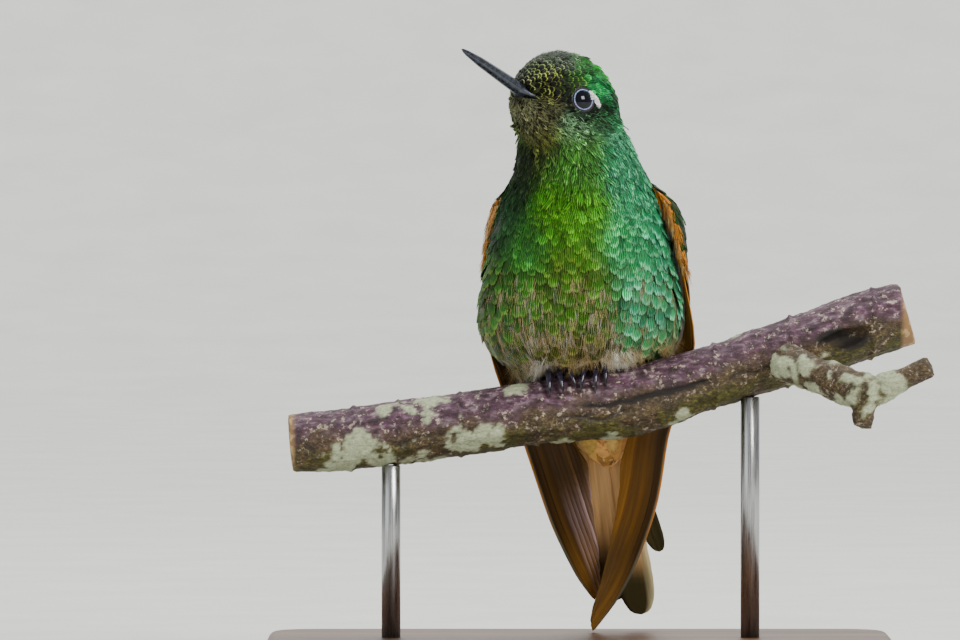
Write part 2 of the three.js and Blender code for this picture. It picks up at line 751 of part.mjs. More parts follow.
// ---------------------------------------------------------------------------------------------
// Assembly
// ---------------------------------------------------------------------------------------------
const PLUMAGE = { color: 0x2f7a45, roughness: 0.45, metalness: 0.35 };
const WING = { color: 0x4a3a30, roughness: 0.6, metalness: 0.1 };
const COVERT = { color: 0x8a5a2a, roughness: 0.65, metalness: 0.05 };
const RECTRIX = { color: 0xc9a26c, roughness: 0.65, metalness: 0 };
const TUFT = { color: 0xd8cdb8, roughness: 0.9, metalness: 0 };
const HORN = { color: 0x1c1e20, roughness: 0.35, metalness: 0 };
const SKIN = { color: 0x4a3a3a, roughness: 0.55, metalness: 0 };
const CORNEA = { color: 0x080a10, roughness: 0.05, metalness: 0 };
const BARK = { color: 0x5b3f42, roughness: 0.85, metalness: 0 };
const TIMBER = { color: 0x6a4126, roughness: 0.5, metalness: 0 };
const STEEL = { color: 0xb8bcc0, roughness: 0.3, metalness: 1 };

function meshOf(name, solid, finish) {
  const { vertProperties, triVerts } = solid.getMesh();
  const geometry = new THREE.BufferGeometry();
  geometry.setAttribute("position", new THREE.BufferAttribute(new Float32Array(vertProperties), 3));
  geometry.setIndex(new THREE.BufferAttribute(new Uint32Array(triVerts), 1));
  geometry.computeVertexNormals();
  const mesh = new THREE.Mesh(geometry, new THREE.MeshStandardMaterial(finish));
  mesh.name = name;
  return mesh;
}

const group = new THREE.Group();
const perched = new THREE.Group();
perched.position.z = PERCH_HEIGHT;
group.add(perched);

const tail = tailSolid();
const tailClearance = tailSleeve();
const branch = branchSolid().subtract(knotholeSolid());
const clearOfBranch = branchClearance(BARK_RELIEF + GAP);

// Head, neck and trunk are one form, parted by two thin cuts.
const sides = ["left", "right"];
const sockets = union([socketSolid(1), socketSolid(-1)]);
const hollows = union(sides.map(footHollow));
const legs = union(sides.map((side) => legSolid(side, GAP)));
const partings = union(PARTINGS.map(({ height, tilt }) => partingSlab(height, tilt)));
const [trunk, neck, head] = headSolid()
  .add(bodySolid())
  .subtract(sockets)
  .subtract(tailClearance)
  .subtract(clearOfBranch)
  .subtract(hollows)
  .subtract(legs)
  .subtract(partings)
  .decompose()
  .filter((body) => body.volume() > CRUMB)
  .sort((a, b) => a.boundingBox().min[2] - b.boundingBox().min[2]);
perched.add(meshOf("head", head, PLUMAGE));
perched.add(meshOf("neck", neck, PLUMAGE));
perched.add(meshOf("trunk", trunk, PLUMAGE));
perched.add(meshOf("tail", tail, RECTRIX));

const [billUpper, billLower] = billHalves();
perched.add(meshOf("bill_upper", billUpper, HORN));
perched.add(meshOf("bill_lower", billLower, HORN));
perched.add(meshOf("eye_left", eyeSolid(1), CORNEA));
perched.add(meshOf("eye_right", eyeSolid(-1), CORNEA));

const clearOfWings = tailClearance.add(clearOfBranch);
for (const side of sides) {
  const wing = wingParts(side, clearOfWings);
  perched.add(meshOf(`wing_${side}_coverts`, wing.coverts, COVERT));
  perched.add(meshOf(`wing_${side}_secondaries`, wing.secondaries, WING));
  perched.add(meshOf(`wing_${side}_primaries`, wing.primaries, WING));
  perched.add(meshOf(`leg_${side}`, legSolid(side), TUFT));
  for (const [name, solid] of Object.entries(footParts(side))) {
    perched.add(meshOf(name, solid, name.startsWith("claw") ? HORN : SKIN));
  }
}

perched.add(meshOf("perch_branch", branch, BARK));
perched.add(meshOf("perch_twig", twigSolid().subtract(clearOfBranch), BARK));

const liftedBranch = clearOfBranch.translate([0, 0, PERCH_HEIGHT]);
group.add(meshOf("stand_base", baseSolid(), TIMBER));
for (const side of sides) {
  group.add(meshOf(`stand_rod_${side}`, rodSolid(ROD[side]).subtract(liftedBranch), STEEL));
}

export default group;
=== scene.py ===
"""A life-size still model of a buff-tailed coronet, a hummingbird, on a cut length of branch that
two rods carry above a flat base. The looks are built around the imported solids.

Shapes are worked out in millimetres in the bird's own frame, whose origin lies on the axis of the
branch between the feet: +X is the bird's left, +Y its back and +Z up. keep() turns a finished
piece into metres in the frame of the solids.
"""

import math

import bmesh
import bpy
import numpy as np
from mathutils import Matrix, Vector, noise
from mathutils.bvhtree import BVHTree
from mathutils.kdtree import KDTree


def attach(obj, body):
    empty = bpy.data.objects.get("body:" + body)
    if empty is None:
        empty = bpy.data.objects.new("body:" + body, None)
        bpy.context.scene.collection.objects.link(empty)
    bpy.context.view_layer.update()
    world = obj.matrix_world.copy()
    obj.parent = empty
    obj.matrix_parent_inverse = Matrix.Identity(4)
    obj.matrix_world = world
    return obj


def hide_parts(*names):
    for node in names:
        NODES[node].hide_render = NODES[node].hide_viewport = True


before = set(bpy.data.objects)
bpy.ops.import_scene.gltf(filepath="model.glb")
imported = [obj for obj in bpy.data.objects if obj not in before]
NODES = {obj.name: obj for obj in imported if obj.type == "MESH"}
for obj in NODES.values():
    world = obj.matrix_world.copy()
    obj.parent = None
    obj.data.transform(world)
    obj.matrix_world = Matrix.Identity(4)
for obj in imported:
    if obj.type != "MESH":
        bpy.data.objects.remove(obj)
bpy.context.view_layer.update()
rng = np.random.default_rng(41)

# ---- Sizes, in millimetres and degrees ---------------------------
MM = 0.001
PERCH_HEIGHT = 42.5

HEAD_CENTRE = np.array([-2.5, -6.0, 47.8])
HEAD_TURN, HEAD_PITCH = math.radians(38), math.radians(21.5)
BILL = {"root": 9.0, "tip": 27.9, "drop": 1.95, "slope": -0.0277}
BILL_HALF = np.array([(0.0, 0.1), (0.5, 0.25), (1.7, 0.42), (5.2, 0.72), (12.0, 0.93), (21.0, 1.1)])
GAPE = 10.3  # how far forward the corners of the mouth lie
GAPE_BEND = (0.43, 2.9)  # how far the mouth bends down to its corners, over which length
# Towards the gape the bill flattens and spreads to the sides of the face: how far forward, the
# share of its thickness that is left, and its half width.
GAPE_FLARE = np.array([
    (9.0, 0.15, 2.4), (10.3, 0.25, 2.6), (11.2, 0.6, 1.75), (12.2, 0.9, 1.3), (13.4, 1.0, 0.0),
])
EYE = {"forward": 3.3, "side": 5.3, "up": -0.5, "radius": 2.3, "axis": math.radians(62)}
# The pale ring, the dark bare skin round it, and the lids; then, from the eye's axis, how far the
# skin is dark, the feathers are small, and they are cut to what room they have.
EYELID = {"ring": 1.57, "thick": 0.1, "bare": 1.86, "bare_thick": 0.25, "cover": 2.33,
          "reach": 3.3, "dark": 2.4, "small": 2.6, "cut": 4.5}
SIDES = {"left": 1, "right": -1}

# The body's level ellipses: height, right side, left side, front and back.
BODY_STATIONS = np.array([
    (47.0, -8.0, 5.8, -11.5, 1.2), (43.0, -10.2, 8.0, -13.0, 3.2),
    (40.0, -10.4, 9.3, -13.3, 5.2), (37.0, -11.0, 10.8, -13.5, 7.4),
    (34.0, -12.3, 12.3, -13.8, 9.6), (30.0, -13.5, 13.5, -14.1, 11.6),
    (25.0, -14.7, 14.7, -14.1, 13.3), (19.0, -16.0, 16.0, -13.4, 14.6),
    (14.0, -16.5, 16.3, -12.0, 15.4), (10.5, -15.7, 15.7, -9.6, 15.8),
    (7.8, -13.6, 14.2, -6.2, 16.0), (5.4, -11.0, 12.6, -1.5, 16.3),
    (1.5, -8.0, 10.8, 3.8, 16.4), (-3.0, -4.0, 9.4, 8.2, 17.0),
    (-7.5, -0.2, 8.2, 10.8, 17.8), (-10.3, 3.6, 5.6, 13.0, 15.4),
])
LEADING_EDGE = {
    "left": [(12.6, -6.2, 36.4), (14.9, -5.0, 28.5), (17.0, -1.6, 19.5), (18.3, 2.8, 10.5),
             (16.7, 6.6, 3.4), (13.9, 9.4, -4.0), (12.1, 12.4, -14.4), (9.8, 14.6, -21.8),
             (6.7, 16.4, -29.0), (2.6, 17.8, -35.2)],
    "right": [(-11.0, -0.8, 35.4), (-13.0, 3.0, 29.5), (-14.2, 5.2, 23.5), (-15.2, 6.6, 16.5),
              (-14.4, 7.6, 9.5), (-11.7, 8.9, 1.8), (-8.4, 10.4, -5.8), (-4.4, 15.0, -17.2),
              (-2.2, 17.2, -22.3), (0.2, 19.4, -27.1), (2.3, 21.0, -30.4)],
}
WING_TWIST = (12.0, 82.0)  # how far the wing turns about its leading edge, shoulder and tip
WING_CLEARANCE = 0.75  # between the wing and the body's ellipses
# The shares of the wing's length over which it stops lying on the body, and how far behind the
# leading edge it lies there in full.
CLING = {"from": 0.3, "to": 0.55, "chord": 7.0}
TAIL = {"root": (1.5, 12.6, 3.0), "tip": (7.5, 25.0, -33.4)}

# The branch: x, y, z and radius of its stations.
BRANCH_STATIONS = np.array([
    (-46.0, 0.6, -5.6, 4.6), (-34.0, 0.3, -4.6, 5.0), (-22.0, 0.0, -3.0, 5.0),
    (-9.5, 0.0, -1.2, 4.9), (0.0, 0.0, 0.0, 5.25), (9.5, 0.0, 1.3, 5.5), (20.8, 0.2, 5.0, 4.9),
    (31.0, 0.4, 8.0, 5.1), (42.0, 0.4, 12.0, 5.4), (52.0, 0.2, 14.9, 5.1),
])
FEET = {
    "left": {"x": 2.75, "spread": (-1.5, -0.2, 1.2), "claws": (-1.3, -0.2, 0.1),
             "reach": (62, 68, 57)},
    "right": {"x": -3.9, "spread": (-1.2, 0.0, 1.2), "claws": (0.3, 1.3, 2.1),
              "reach": (63, 62, 52)},
}
# Along the branch's round in degrees from its top to the front, and heights above the bark.
TOE = {"radius": 0.44, "from": -24.0, "to": 15.0, "lift": 0.74}
CLAW_SHAPE = {"from": 0.0, "lift": 1.35, "arch": 0.7, "root": 0.62, "point": 0.08}
HALLUX = {"from": -33.0, "to": -60.0, "claw_from": -58.0, "claw_to": -92.0, "aside": -0.2}
BASE = {"length": 100.0, "depth": 62.0, "thickness": 6.0, "corner": 8.0}
RODS = {"stand_rod_left": -30.0, "stand_rod_right": 27.0}
ROD_RADIUS, ROD_CHAMFER = 1.5, 0.15

SKIN_VOXEL, BARK_VOXEL, ARM_VOXEL = 0.5, 0.4, 0.35  # how fine the fused surfaces are
COAT_DEPTH = 0.5  # from the skin to the tips of the feathers
VANE_DEEP = 0.06  # how far the underside of a small feather lies below its upper side
VANE_GAP = 0.05  # what a feather keeps clear of the surface that it lies on
ROOT_TUCK = 0.15  # the share of a feather that lies behind its root
PATCH = 0.003  # how wide a feather's or tuft's patch on the unwrap is

# ---- Small helpers -----------------------------------------------
def linear(code):
    """An sRGB hex colour as linear red, green, blue and alpha."""
    parts = [int(code[i:i + 2], 16) / 255 for i in (1, 3, 5)]
    return (*[p / 12.92 if p <= 0.04045 else ((p + 0.055) / 1.055) ** 2.4 for p in parts], 1.0)


def colour(code):
    """The same without alpha, as an array."""
    return np.array(linear(code)[:3])


def smoothstep(x, low, high):
    share = np.clip((np.asarray(x, float) - low) / (high - low), 0, 1)
    return share * share * (3 - 2 * share)


def mix(a, b, share):
    return a + (b - a) * share


def unit(vectors):
    return vectors / np.maximum(np.linalg.norm(vectors, axis=-1, keepdims=True), 1e-9)


def across(a, b):
    """The dot product of two arrays of vectors, one number to a pair, as a column."""
    return np.sum(a * b, axis=-1, keepdims=True)


def smooth_path(stations, steps=24):
    """A dense uniform Catmull-Rom curve through stations of any number of values."""
    p = np.asarray(stations, float)
    p = np.vstack([2 * p[0] - p[1], p, 2 * p[-1] - p[-2]])
    rows = []
    for i in range(1, len(p) - 2):
        t = np.linspace(0, 1, steps, endpoint=False)[:, None]
        a, b, c, d = p[i - 1:i + 3]
        rows.append(0.5 * (2 * b + (c - a) * t + (2 * a - 5 * b + 4 * c - d) * t ** 2
                           + (3 * b - a - 3 * c + d) * t ** 3))
    return np.vstack(rows + [p[-2:-1]])


def sample(table, where, places):
    """Each column of a dense table at places along the rising values where."""
    return np.stack([np.interp(places, where, column) for column in table.T], axis=-1)


BODY_PATH = smooth_path(BODY_STATIONS)[::-1]
BRANCH_PATH = smooth_path(BRANCH_STATIONS)


def keep(name, mesh, replaced=(), smooth=True):
    """A finished mesh in millimetres of the bird's frame becomes a piece on the body."""
    mesh.transform(Matrix.Scale(MM, 4) @ Matrix.Translation((0, 0, PERCH_HEIGHT)))
    mesh.name = name
    mesh.shade_smooth() if smooth else mesh.shade_flat()
    piece = bpy.data.objects.new(name, mesh)
    bpy.context.scene.collection.objects.link(piece)
    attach(piece, "root")
    if replaced:
        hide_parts(*replaced)
    return piece


def mesh_of(bm, name="piece"):
    mesh = bpy.data.meshes.new(name)
    bm.to_mesh(mesh)
    bm.free()
    return mesh


def read(items, field, width=1, kind=np.float32):
    """A number or a vector to an item, as an array."""
    values = np.empty(len(items) * width, kind)
    items.foreach_get(field, values)
    return values.reshape(-1, width) if width > 1 else values


def points_of(mesh):
    return read(mesh.vertices, "co", 3).astype(float)


def normals_of(mesh):
    return read(mesh.vertex_normals, "vector", 3).astype(float)


def move_points(mesh, points):
    mesh.vertices.foreach_set("co", np.asarray(points, np.float32).ravel())
    mesh.update()


def paint(mesh, name, values):
    """Stores one value or colour to a point."""
    values = np.asarray(values, np.float32)
    if values.ndim == 1:
        mesh.attributes.new(name, "FLOAT", "POINT").data.foreach_set("value", values)
        return
    if values.shape[1] == 3:
        values = np.hstack([values, np.ones((len(values), 1), np.float32)])
    mesh.attributes.new(name, "FLOAT_COLOR", "POINT").data.foreach_set("color", values.ravel())


def map_uv(mesh, name, places):
    """A UV map from one place to a point."""
    corners = read(mesh.loops, "vertex_index", kind=np.int32)
    layer = mesh.uv_layers.new(name=name)
    layer.data.foreach_set("uv", np.asarray(places, np.float32)[corners].ravel())


def tube(around, along, place):
    """A closed tube: a grid rolled up. place(turn, length) takes turns in radians and lengths
    from 0 to 1 and gives points."""
    bm = bmesh.new()
    bmesh.ops.create_grid(bm, x_segments=around, y_segments=along, size=1)
    grid = np.array([v.co[:] for v in bm.verts])
    for vert, point in zip(bm.verts, place((grid[:, 0] + 1) * math.pi, (grid[:, 1] + 1) / 2)):
        vert.co = point
    bmesh.ops.remove_doubles(bm, verts=bm.verts, dist=1e-4)
    bmesh.ops.holes_fill(bm, edges=[e for e in bm.edges if e.is_boundary])
    bmesh.ops.recalc_face_normals(bm, faces=bm.faces)
    return bm


def rod_along(path, radius_at, around, along):
    """A round tube along a dense path that runs across the branch, with radius_at(turn, length)."""
    steps = np.linalg.norm(np.diff(path, axis=0), axis=1)
    where = np.concatenate([[0], np.cumsum(steps)]) / steps.sum()
    tangents = unit(np.gradient(path, axis=0))

    def place(turn, length):
        tangent = unit(sample(tangents, where, length))
        side = unit(np.cross(tangent, (1.0, 0.0, 0.0)))
        over = np.cross(side, tangent)
        radius = np.asarray(radius_at(turn, length))[:, None]
        ring = side * np.cos(turn)[:, None] + over * np.sin(turn)[:, None]
        return sample(path, where, length) + radius * ring

    return tube(around, along, place)


def merged(parts):
    """Several bmeshes as one."""
    whole = bmesh.new()
    for bm in parts:
        mesh = mesh_of(bm)
        whole.from_mesh(mesh)
        bpy.data.meshes.remove(mesh)
    return whole


# ---- The head's frame, and the lie of the coat -------------------
FORWARD = np.array([
    -math.sin(HEAD_TURN) * math.cos(HEAD_PITCH),
    -math.cos(HEAD_TURN) * math.cos(HEAD_PITCH),
    math.sin(HEAD_PITCH),
])
LEFT = np.array([math.cos(HEAD_TURN), -math.sin(HEAD_TURN), 0.0])
UP = np.cross(FORWARD, LEFT)
HEAD_AXES = np.array([FORWARD, LEFT, UP])


def in_head(forward, left, up):
    """A point given along the head's own axes."""
    return HEAD_CENTRE + np.stack(np.broadcast_arrays(forward, left, up), axis=-1) @ HEAD_AXES


def head_place(points):
    """Points as forward, left and up in the head."""
    return (points - HEAD_CENTRE) @ HEAD_AXES.T


def mouth_level(forward):
    """The level, in the head, of the line between the halves of the bill."""
    bend = GAPE_BEND[0] * smoothstep(GAPE + GAPE_BEND[1] - forward, 0, GAPE_BEND[1])
    return -BILL["drop"] - BILL["slope"] * (forward - GAPE) - bend


BILL_ROOT = in_head(11.5, 0, -BILL["drop"])


def lie(points, normals):
    """The way the plumage lies: away from the bill over the head, then down to the tail."""
    height = points[:, 2:3]
    from_bill = unit(points - BILL_ROOT)
    nape = smoothstep(-head_place(points)[:, 0:1], 2, 8)
    sides = np.sign(points[:, 0:1]) * smoothstep(height, 22, 36) * 0.25
    tailward = 0.12 + 0.75 * smoothstep(-height, -9, 2)
    down = np.hstack([sides, tailward, -np.ones_like(height)])
    on_head = smoothstep(height, 37, 45) * (1 - 0.7 * nape)
    way = on_head * from_bill + (1 - on_head) * unit(down)
    return unit(way - normals * across(way, normals))


# ---- Plumage colours ---------------------------------------------
# Named places of the plumage: centre, reach, colour of the vane, colour of its margin, and how
# much of the vane the margin's colour takes up.
# The bird's left side, towards the key lamp, is painted paler and more turquoise and its right side
# darker: painted glint and painted shade of the iridescent coat, as it looks from the front.
PLACES = [
    ("forehead", (-9.0, -13.0, 54.0), 3.2, "#070a04", "#4e5c30", 0.8),
    ("brow", (-5.4, -15.3, 51.2), 2.4, "#050600", "#7e8a26", 0.9),
    ("brow_end", (-1.9, -14.4, 51.1), 1.9, "#101c06", "#4c7820", 0.6),
    ("crown", (-4.5, -8.5, 57.0), 4.5, "#0c140a", "#5a6e50", 0.75),
    ("hind_crown", (2.5, -7.5, 54.0), 3.6, "#0c6a16", "#3c9c38", 0.5),
    ("over_eye", (3.5, -9.5, 51.5), 2.4, "#087a3a", "#3fb478", 0.6),
    ("behind_eye", (6.0, -6.5, 48.0), 3.4, "#0a4420", "#3fae6c", 0.55),
    ("far_cheek", (-11.0, -6.0, 48.0), 4.5, "#122a08", "#56741e", 0.6),
    ("nape", (3.0, 3.0, 50.0), 6.0, "#124e10", "#48802a", 0.3),
    ("lores", (-2.0, -14.6, 48.7), 1.9, "#030202", "#0c0908", 1.0),
    ("malar", (-5.2, -15.0, 47.6), 1.9, "#0a0b04", "#6c6c44", 0.9),
    ("chin", (-9.0, -14.6, 46.2), 3.8, "#070802", "#7c7e5a", 0.9),
    ("cheek", (-0.8, -13.8, 45.0), 2.8, "#102412", "#7ca87c", 0.85),
    ("under_eye", (3.2, -11.5, 45.8), 2.2, "#162812", "#448050", 0.5),
    ("throat", (-7.0, -13.8, 42.0), 3.8, "#141804", "#6e7030", 0.85),
    # In the rows of the neck, shoulders, breast and flanks, the paler turquoise _left ones hold
    # painted glint and the darker _right ones painted shade.
    ("neck_right", (-9.0, -8.0, 38.5), 4.0, "#14240a", "#3a5424", 0.4),
    ("neck_front", (-1.0, -13.5, 39.5), 4.0, "#265c12", "#70ac54", 0.55),
    ("neck_left", (7.0, -9.0, 38.5), 4.5, "#1a7444", "#74d0a0", 0.6),
    ("shoulder_left", (10.5, -8.5, 33.0), 5.0, "#1a8450", "#74d4a8", 0.55),
    ("shoulder_right", (-12.0, -7.0, 32.0), 5.0, "#0c3412", "#2c5c2c", 0.4),
    ("breast", (-1.5, -14.0, 31.5), 5.6, "#327408", "#70a820", 0.4),
    ("breast_left", (8.0, -12.5, 28.0), 4.5, "#1a8646", "#70cc8c", 0.5),
    ("breast_right", (-9.5, -11.5, 27.0), 4.5, "#206420", "#5a9c3c", 0.4),
    ("lower_breast", (-1.0, -14.0, 24.5), 4.5, "#3a6c10", "#809838", 0.35),
    ("flank_left", (12.5, -8.5, 19.5), 6.0, "#289660", "#8cd4ac", 0.45),
    ("flank_right", (-13.0, -7.5, 18.5), 6.0, "#286418", "#7c9444", 0.4),
    ("belly", (-1.0, -12.5, 17.5), 6.0, "#366410", "#8c9850", 0.35),
    ("low_belly", (-1.0, -9.0, 10.0), 5.0, "#546420", "#b8a46c", 0.5),
    ("low_flank_left", (12.5, -3.5, 9.5), 4.5, "#3a8a50", "#bcb880", 0.5),
    ("low_flank_right", (-13.0, -3.0, 9.0), 4.5, "#305c14", "#8c7c3c", 0.5),
    ("vent", (3.5, 5.0, 0.0), 5.0, "#d0a058", "#e4bc80", 0.4),
    ("undertail", (4.5, 9.0, -7.0), 5.0, "#cc9c54", "#e0b678", 0.4),
    ("mantle", (0.0, 9.0, 32.0), 9.0, "#1a5c14", "#3c7c20", 0.3),
    ("back", (0.0, 14.5, 20.0), 9.0, "#1c5c18", "#488024", 0.3),
    ("rump", (2.0, 16.5, 6.0), 8.0, "#2c5c1a", "#647028", 0.35),
]
PLACE_CENTRES = np.array([p[1] for p in PLACES])
PLACE_REACH = np.array([p[2] for p in PLACES])
PLACE_COLOURS = np.array([colour(p[3]) for p in PLACES])
PLACE_MARGINS = np.array([colour(p[4]) for p in PLACES])
PLACE_SHARES = np.array([p[5] for p in PLACES])

# The white spot behind the eye: its middle, half sizes and slant in the head's own axes.
SPOT = {"at": (2.5, 6.9, 0.4), "long": 1.25, "wide": 0.29, "slant": math.radians(40)}


def plumage(points):
    """The vane's colour, its margin's colour and the margin's share at each point."""
    apart = np.linalg.norm(points[:, None, :] - PLACE_CENTRES, axis=2) / PLACE_REACH
    weights = np.exp(-1.7 * apart ** 2) + 1e-9
    weights /= weights.sum(axis=1, keepdims=True)
    return weights @ PLACE_COLOURS, weights @ PLACE_MARGINS, weights @ PLACE_SHARES


def in_spot(points, side):
    """1 inside the white spot behind the eye of that side, fading to 0 at its rim."""
    forward, left, up = (head_place(points) - np.array(SPOT["at"]) * (1, side, 1)).T
    along = forward * math.cos(SPOT["slant"]) + up * math.sin(SPOT["slant"])
    aside = up * math.cos(SPOT["slant"]) - forward * math.sin(SPOT["slant"])
    wide = SPOT["wide"] * (1 - 0.45 * along / SPOT["long"])
    off = np.hypot(along / SPOT["long"], aside / np.maximum(wide, 0.1))
    return (1 - smoothstep(off, 0.8, 1.2)) * (np.abs(left) < 3)


# ---- Skin --------------------------------------------------------
def fused(nodes, voxel, swell, smoothing, shrink):
    """One closed surface over copies of CAD nodes: swollen until the cuts between them close,
    remeshed, smoothed, and drawn back in."""
    bm = bmesh.new()
    for name in nodes:
        bm.from_mesh(NODES[name].data)
    bmesh.ops.remove_doubles(bm, verts=bm.verts, dist=2e-6)
    bmesh.ops.transform(
        bm, verts=bm.verts,
        matrix=Matrix.Translation((0, 0, -PERCH_HEIGHT)) @ Matrix.Scale(1 / MM, 4),
    )
    bmesh.ops.recalc_face_normals(bm, faces=bm.faces)
    holder = bpy.data.objects.new("holder", mesh_of(bm))
    bpy.context.scene.collection.objects.link(holder)
    grow = holder.modifiers.new("swell", "DISPLACE")
    grow.strength, grow.mid_level = swell, 0
    remesh = holder.modifiers.new("remesh", "REMESH")
    remesh.mode, remesh.voxel_size = "VOXEL", voxel
    relax = holder.modifiers.new("relax", "SMOOTH")
    relax.factor, relax.iterations = 0.5, smoothing
    bpy.context.view_layer.update()
    graph = bpy.context.evaluated_depsgraph_get()
    mesh = bpy.data.meshes.new_from_object(holder.evaluated_get(graph))
    bpy.data.objects.remove(holder)
    move_points(mesh, points_of(mesh) - normals_of(mesh) * shrink)
    return mesh


def unwrap(mesh):
    """An unwrap of the surface's own shape, as the map OFBake."""
    holder = bpy.data.objects.new("holder", mesh)
    bpy.context.scene.collection.objects.link(holder)
    bpy.context.view_layer.objects.active = holder
    holder.select_set(True)
    mesh.uv_layers.new(name="OFBake")
    bpy.ops.object.mode_set(mode="EDIT")
    bpy.ops.mesh.select_all(action="SELECT")
    bpy.ops.uv.smart_project(angle_limit=math.radians(66), island_margin=0.004)
    bpy.ops.object.mode_set(mode="OBJECT")
    bpy.data.objects.remove(holder)


# ---- Coat --------------------------------------------------------
def vane_template(across_count, along_count):
    """A thin closed vane: points from -1 to 1 across, 0 to 1 along and 0 or 1 through, and the
    corners of its faces."""
    bm = bmesh.new()
    bmesh.ops.create_grid(bm, x_segments=across_count, y_segments=along_count, size=1)
    bmesh.ops.solidify(bm, geom=bm.faces[:], thickness=1)
    bmesh.ops.recalc_face_normals(bm, faces=bm.faces)
    bm.verts.index_update()
    points = np.array([v.co[:] for v in bm.verts])
    through = points[:, 2] - points[:, 2].min()
    points = np.stack([points[:, 0], (points[:, 1] + 1) / 2, through / through.max()], axis=1)
    faces = np.array([[v.index for v in f.verts] for f in bm.faces])
    bm.free()
    return points, faces


def plume_template(barbs, along_count):
    """A downy tuft: barbs that are three-sided spikes. Its points hold the barb's number, 0 to 1
    along, and the turn round the barb, and its faces have four corners each."""
    bm = bmesh.new()
    for i in range(barbs):
        bmesh.ops.create_grid(bm, x_segments=3, y_segments=along_count, size=1,
                              matrix=Matrix.Translation((0, 0, i)))
    points = np.array([v.co[:] for v in bm.verts])
    turn = np.round((points[:, 0] + 1) * 1.5) % 3
    keys = np.stack([np.round(points[:, 2]), (points[:, 1] + 1) / 2, turn], axis=1)
    kept, where = np.unique(np.round(keys, 4), axis=0, return_inverse=True)
    faces = np.array([[where.ravel()[v.index] for v in f.verts] for f in bm.faces])
    bm.free()
    return kept, faces


def joined(name, places, faces):
    """One mesh of many copies of a template: places holds the points of each copy."""
    copies, size = places.shape[:2]
    corners = (faces[None] + (np.arange(copies) * size)[:, None, None]).reshape(-1, faces.shape[1])
    mesh = bpy.data.meshes.new(name)
    mesh.vertices.add(copies * size)
    mesh.vertices.foreach_set("co", places.reshape(-1).astype(np.float32))
    mesh.loops.add(corners.size)
    mesh.loops.foreach_set("vertex_index", corners.reshape(-1).astype(np.int32))
    mesh.polygons.add(len(corners))
    starts = np.arange(0, corners.size, faces.shape[1], dtype=np.int32)
    mesh.polygons.foreach_set("loop_start", starts)
    mesh.update(calc_edges=True)
    return mesh


class Ground:
    """A surface that feathers grow on."""

    def __init__(self, mesh):
        mesh.calc_loop_triangles()
        self.points = points_of(mesh)
        self.normals = normals_of(mesh)
        self.triangles = read(mesh.loop_triangles, "vertices", 3, np.int32)
        corners = read(mesh.loop_triangles, "loops", 3, np.int32)
        self.unwrapped = read(mesh.uv_layers["OFBake"].data, "uv", 2)[corners]
        self.tree = BVHTree.FromPolygons(self.points.tolist(), self.triangles.tolist())

    def scatter(self, density):
        """Random roots, so many to a square millimetre: points, normals, places on the unwrap."""
        a, b, c = (self.points[self.triangles[:, i]] for i in range(3))
        areas = np.linalg.norm(np.cross(b - a, c - a), axis=1) / 2
        count = int(areas.sum() * density)
        picked = rng.choice(len(areas), count, p=areas / areas.sum())
        r = np.sqrt(rng.random((count, 1)))
        s = rng.random((count, 1))
        shares = np.hstack([1 - r, r * (1 - s), r * s])[:, :, None]
        corners = self.triangles[picked]
        return (
            (self.points[corners] * shares).sum(axis=1),
            unit((self.normals[corners] * shares).sum(axis=1)),
            (self.unwrapped[picked] * shares).sum(axis=1),
        )

    def rows(self, spacing_at, density, order):
        """Roots kept spacing_at apart, taken in the order of the lie so that they fall in rows."""
        points, normals, places = self.scatter(density)
        spacing = spacing_at(points)
        near = KDTree(len(points))
        for i, point in enumerate(points):
            near.insert(point, i)
        near.balance()
        free = spacing > 0
        chosen = []
        for i in np.argsort(order(points) + rng.normal(0, 0.12, len(points))):
            if not free[i]:
                continue
            chosen.append(i)
            for _, other, _ in near.find_range(points[i], spacing[i]):
                free[other] = False
        return points[chosen], normals[chosen], places[chosen]

    def drape(self, points):
        """The nearest points on the surface, and the ways out of it there."""
        flat = points.reshape(-1, 3)
        feet = np.empty_like(flat)
        ups = np.empty_like(flat)
        for i, point in enumerate(flat):
            foot, up, _, _ = self.tree.find_nearest(point)
            feet[i] = foot
            ups[i] = up
        return feet.reshape(points.shape), ups.reshape(points.shape)


def clear_of_branch(points, room=0.35):
    """Pushes points out of the branch."""
    centre = sample(BRANCH_PATH[:, :3], BRANCH_PATH[:, 0], points[..., 0].ravel())
    radius = np.interp(points[..., 0].ravel(), BRANCH_PATH[:, 0], BRANCH_PATH[:, 3]) + room
    off = points.reshape(-1, 3) - centre
    off[:, 0] = 0
    away = np.linalg.norm(off, axis=1)
    push = np.maximum(radius - away, 0) / np.maximum(away, 1e-6)
    return points + (off * push[:, None]).reshape(points.shape)


def patches(places, local):
    """A small patch for each feather or tuft, at its root's place on the unwrap."""
    whole = np.broadcast_to(local, (len(places), *local.shape))
    return (places[:, None, :] + (whole - 0.5) * PATCH).reshape(-1, 2)


FEATHER_BASE = colour("#3a2c10")  # the loose brown base that neighbours mostly hide


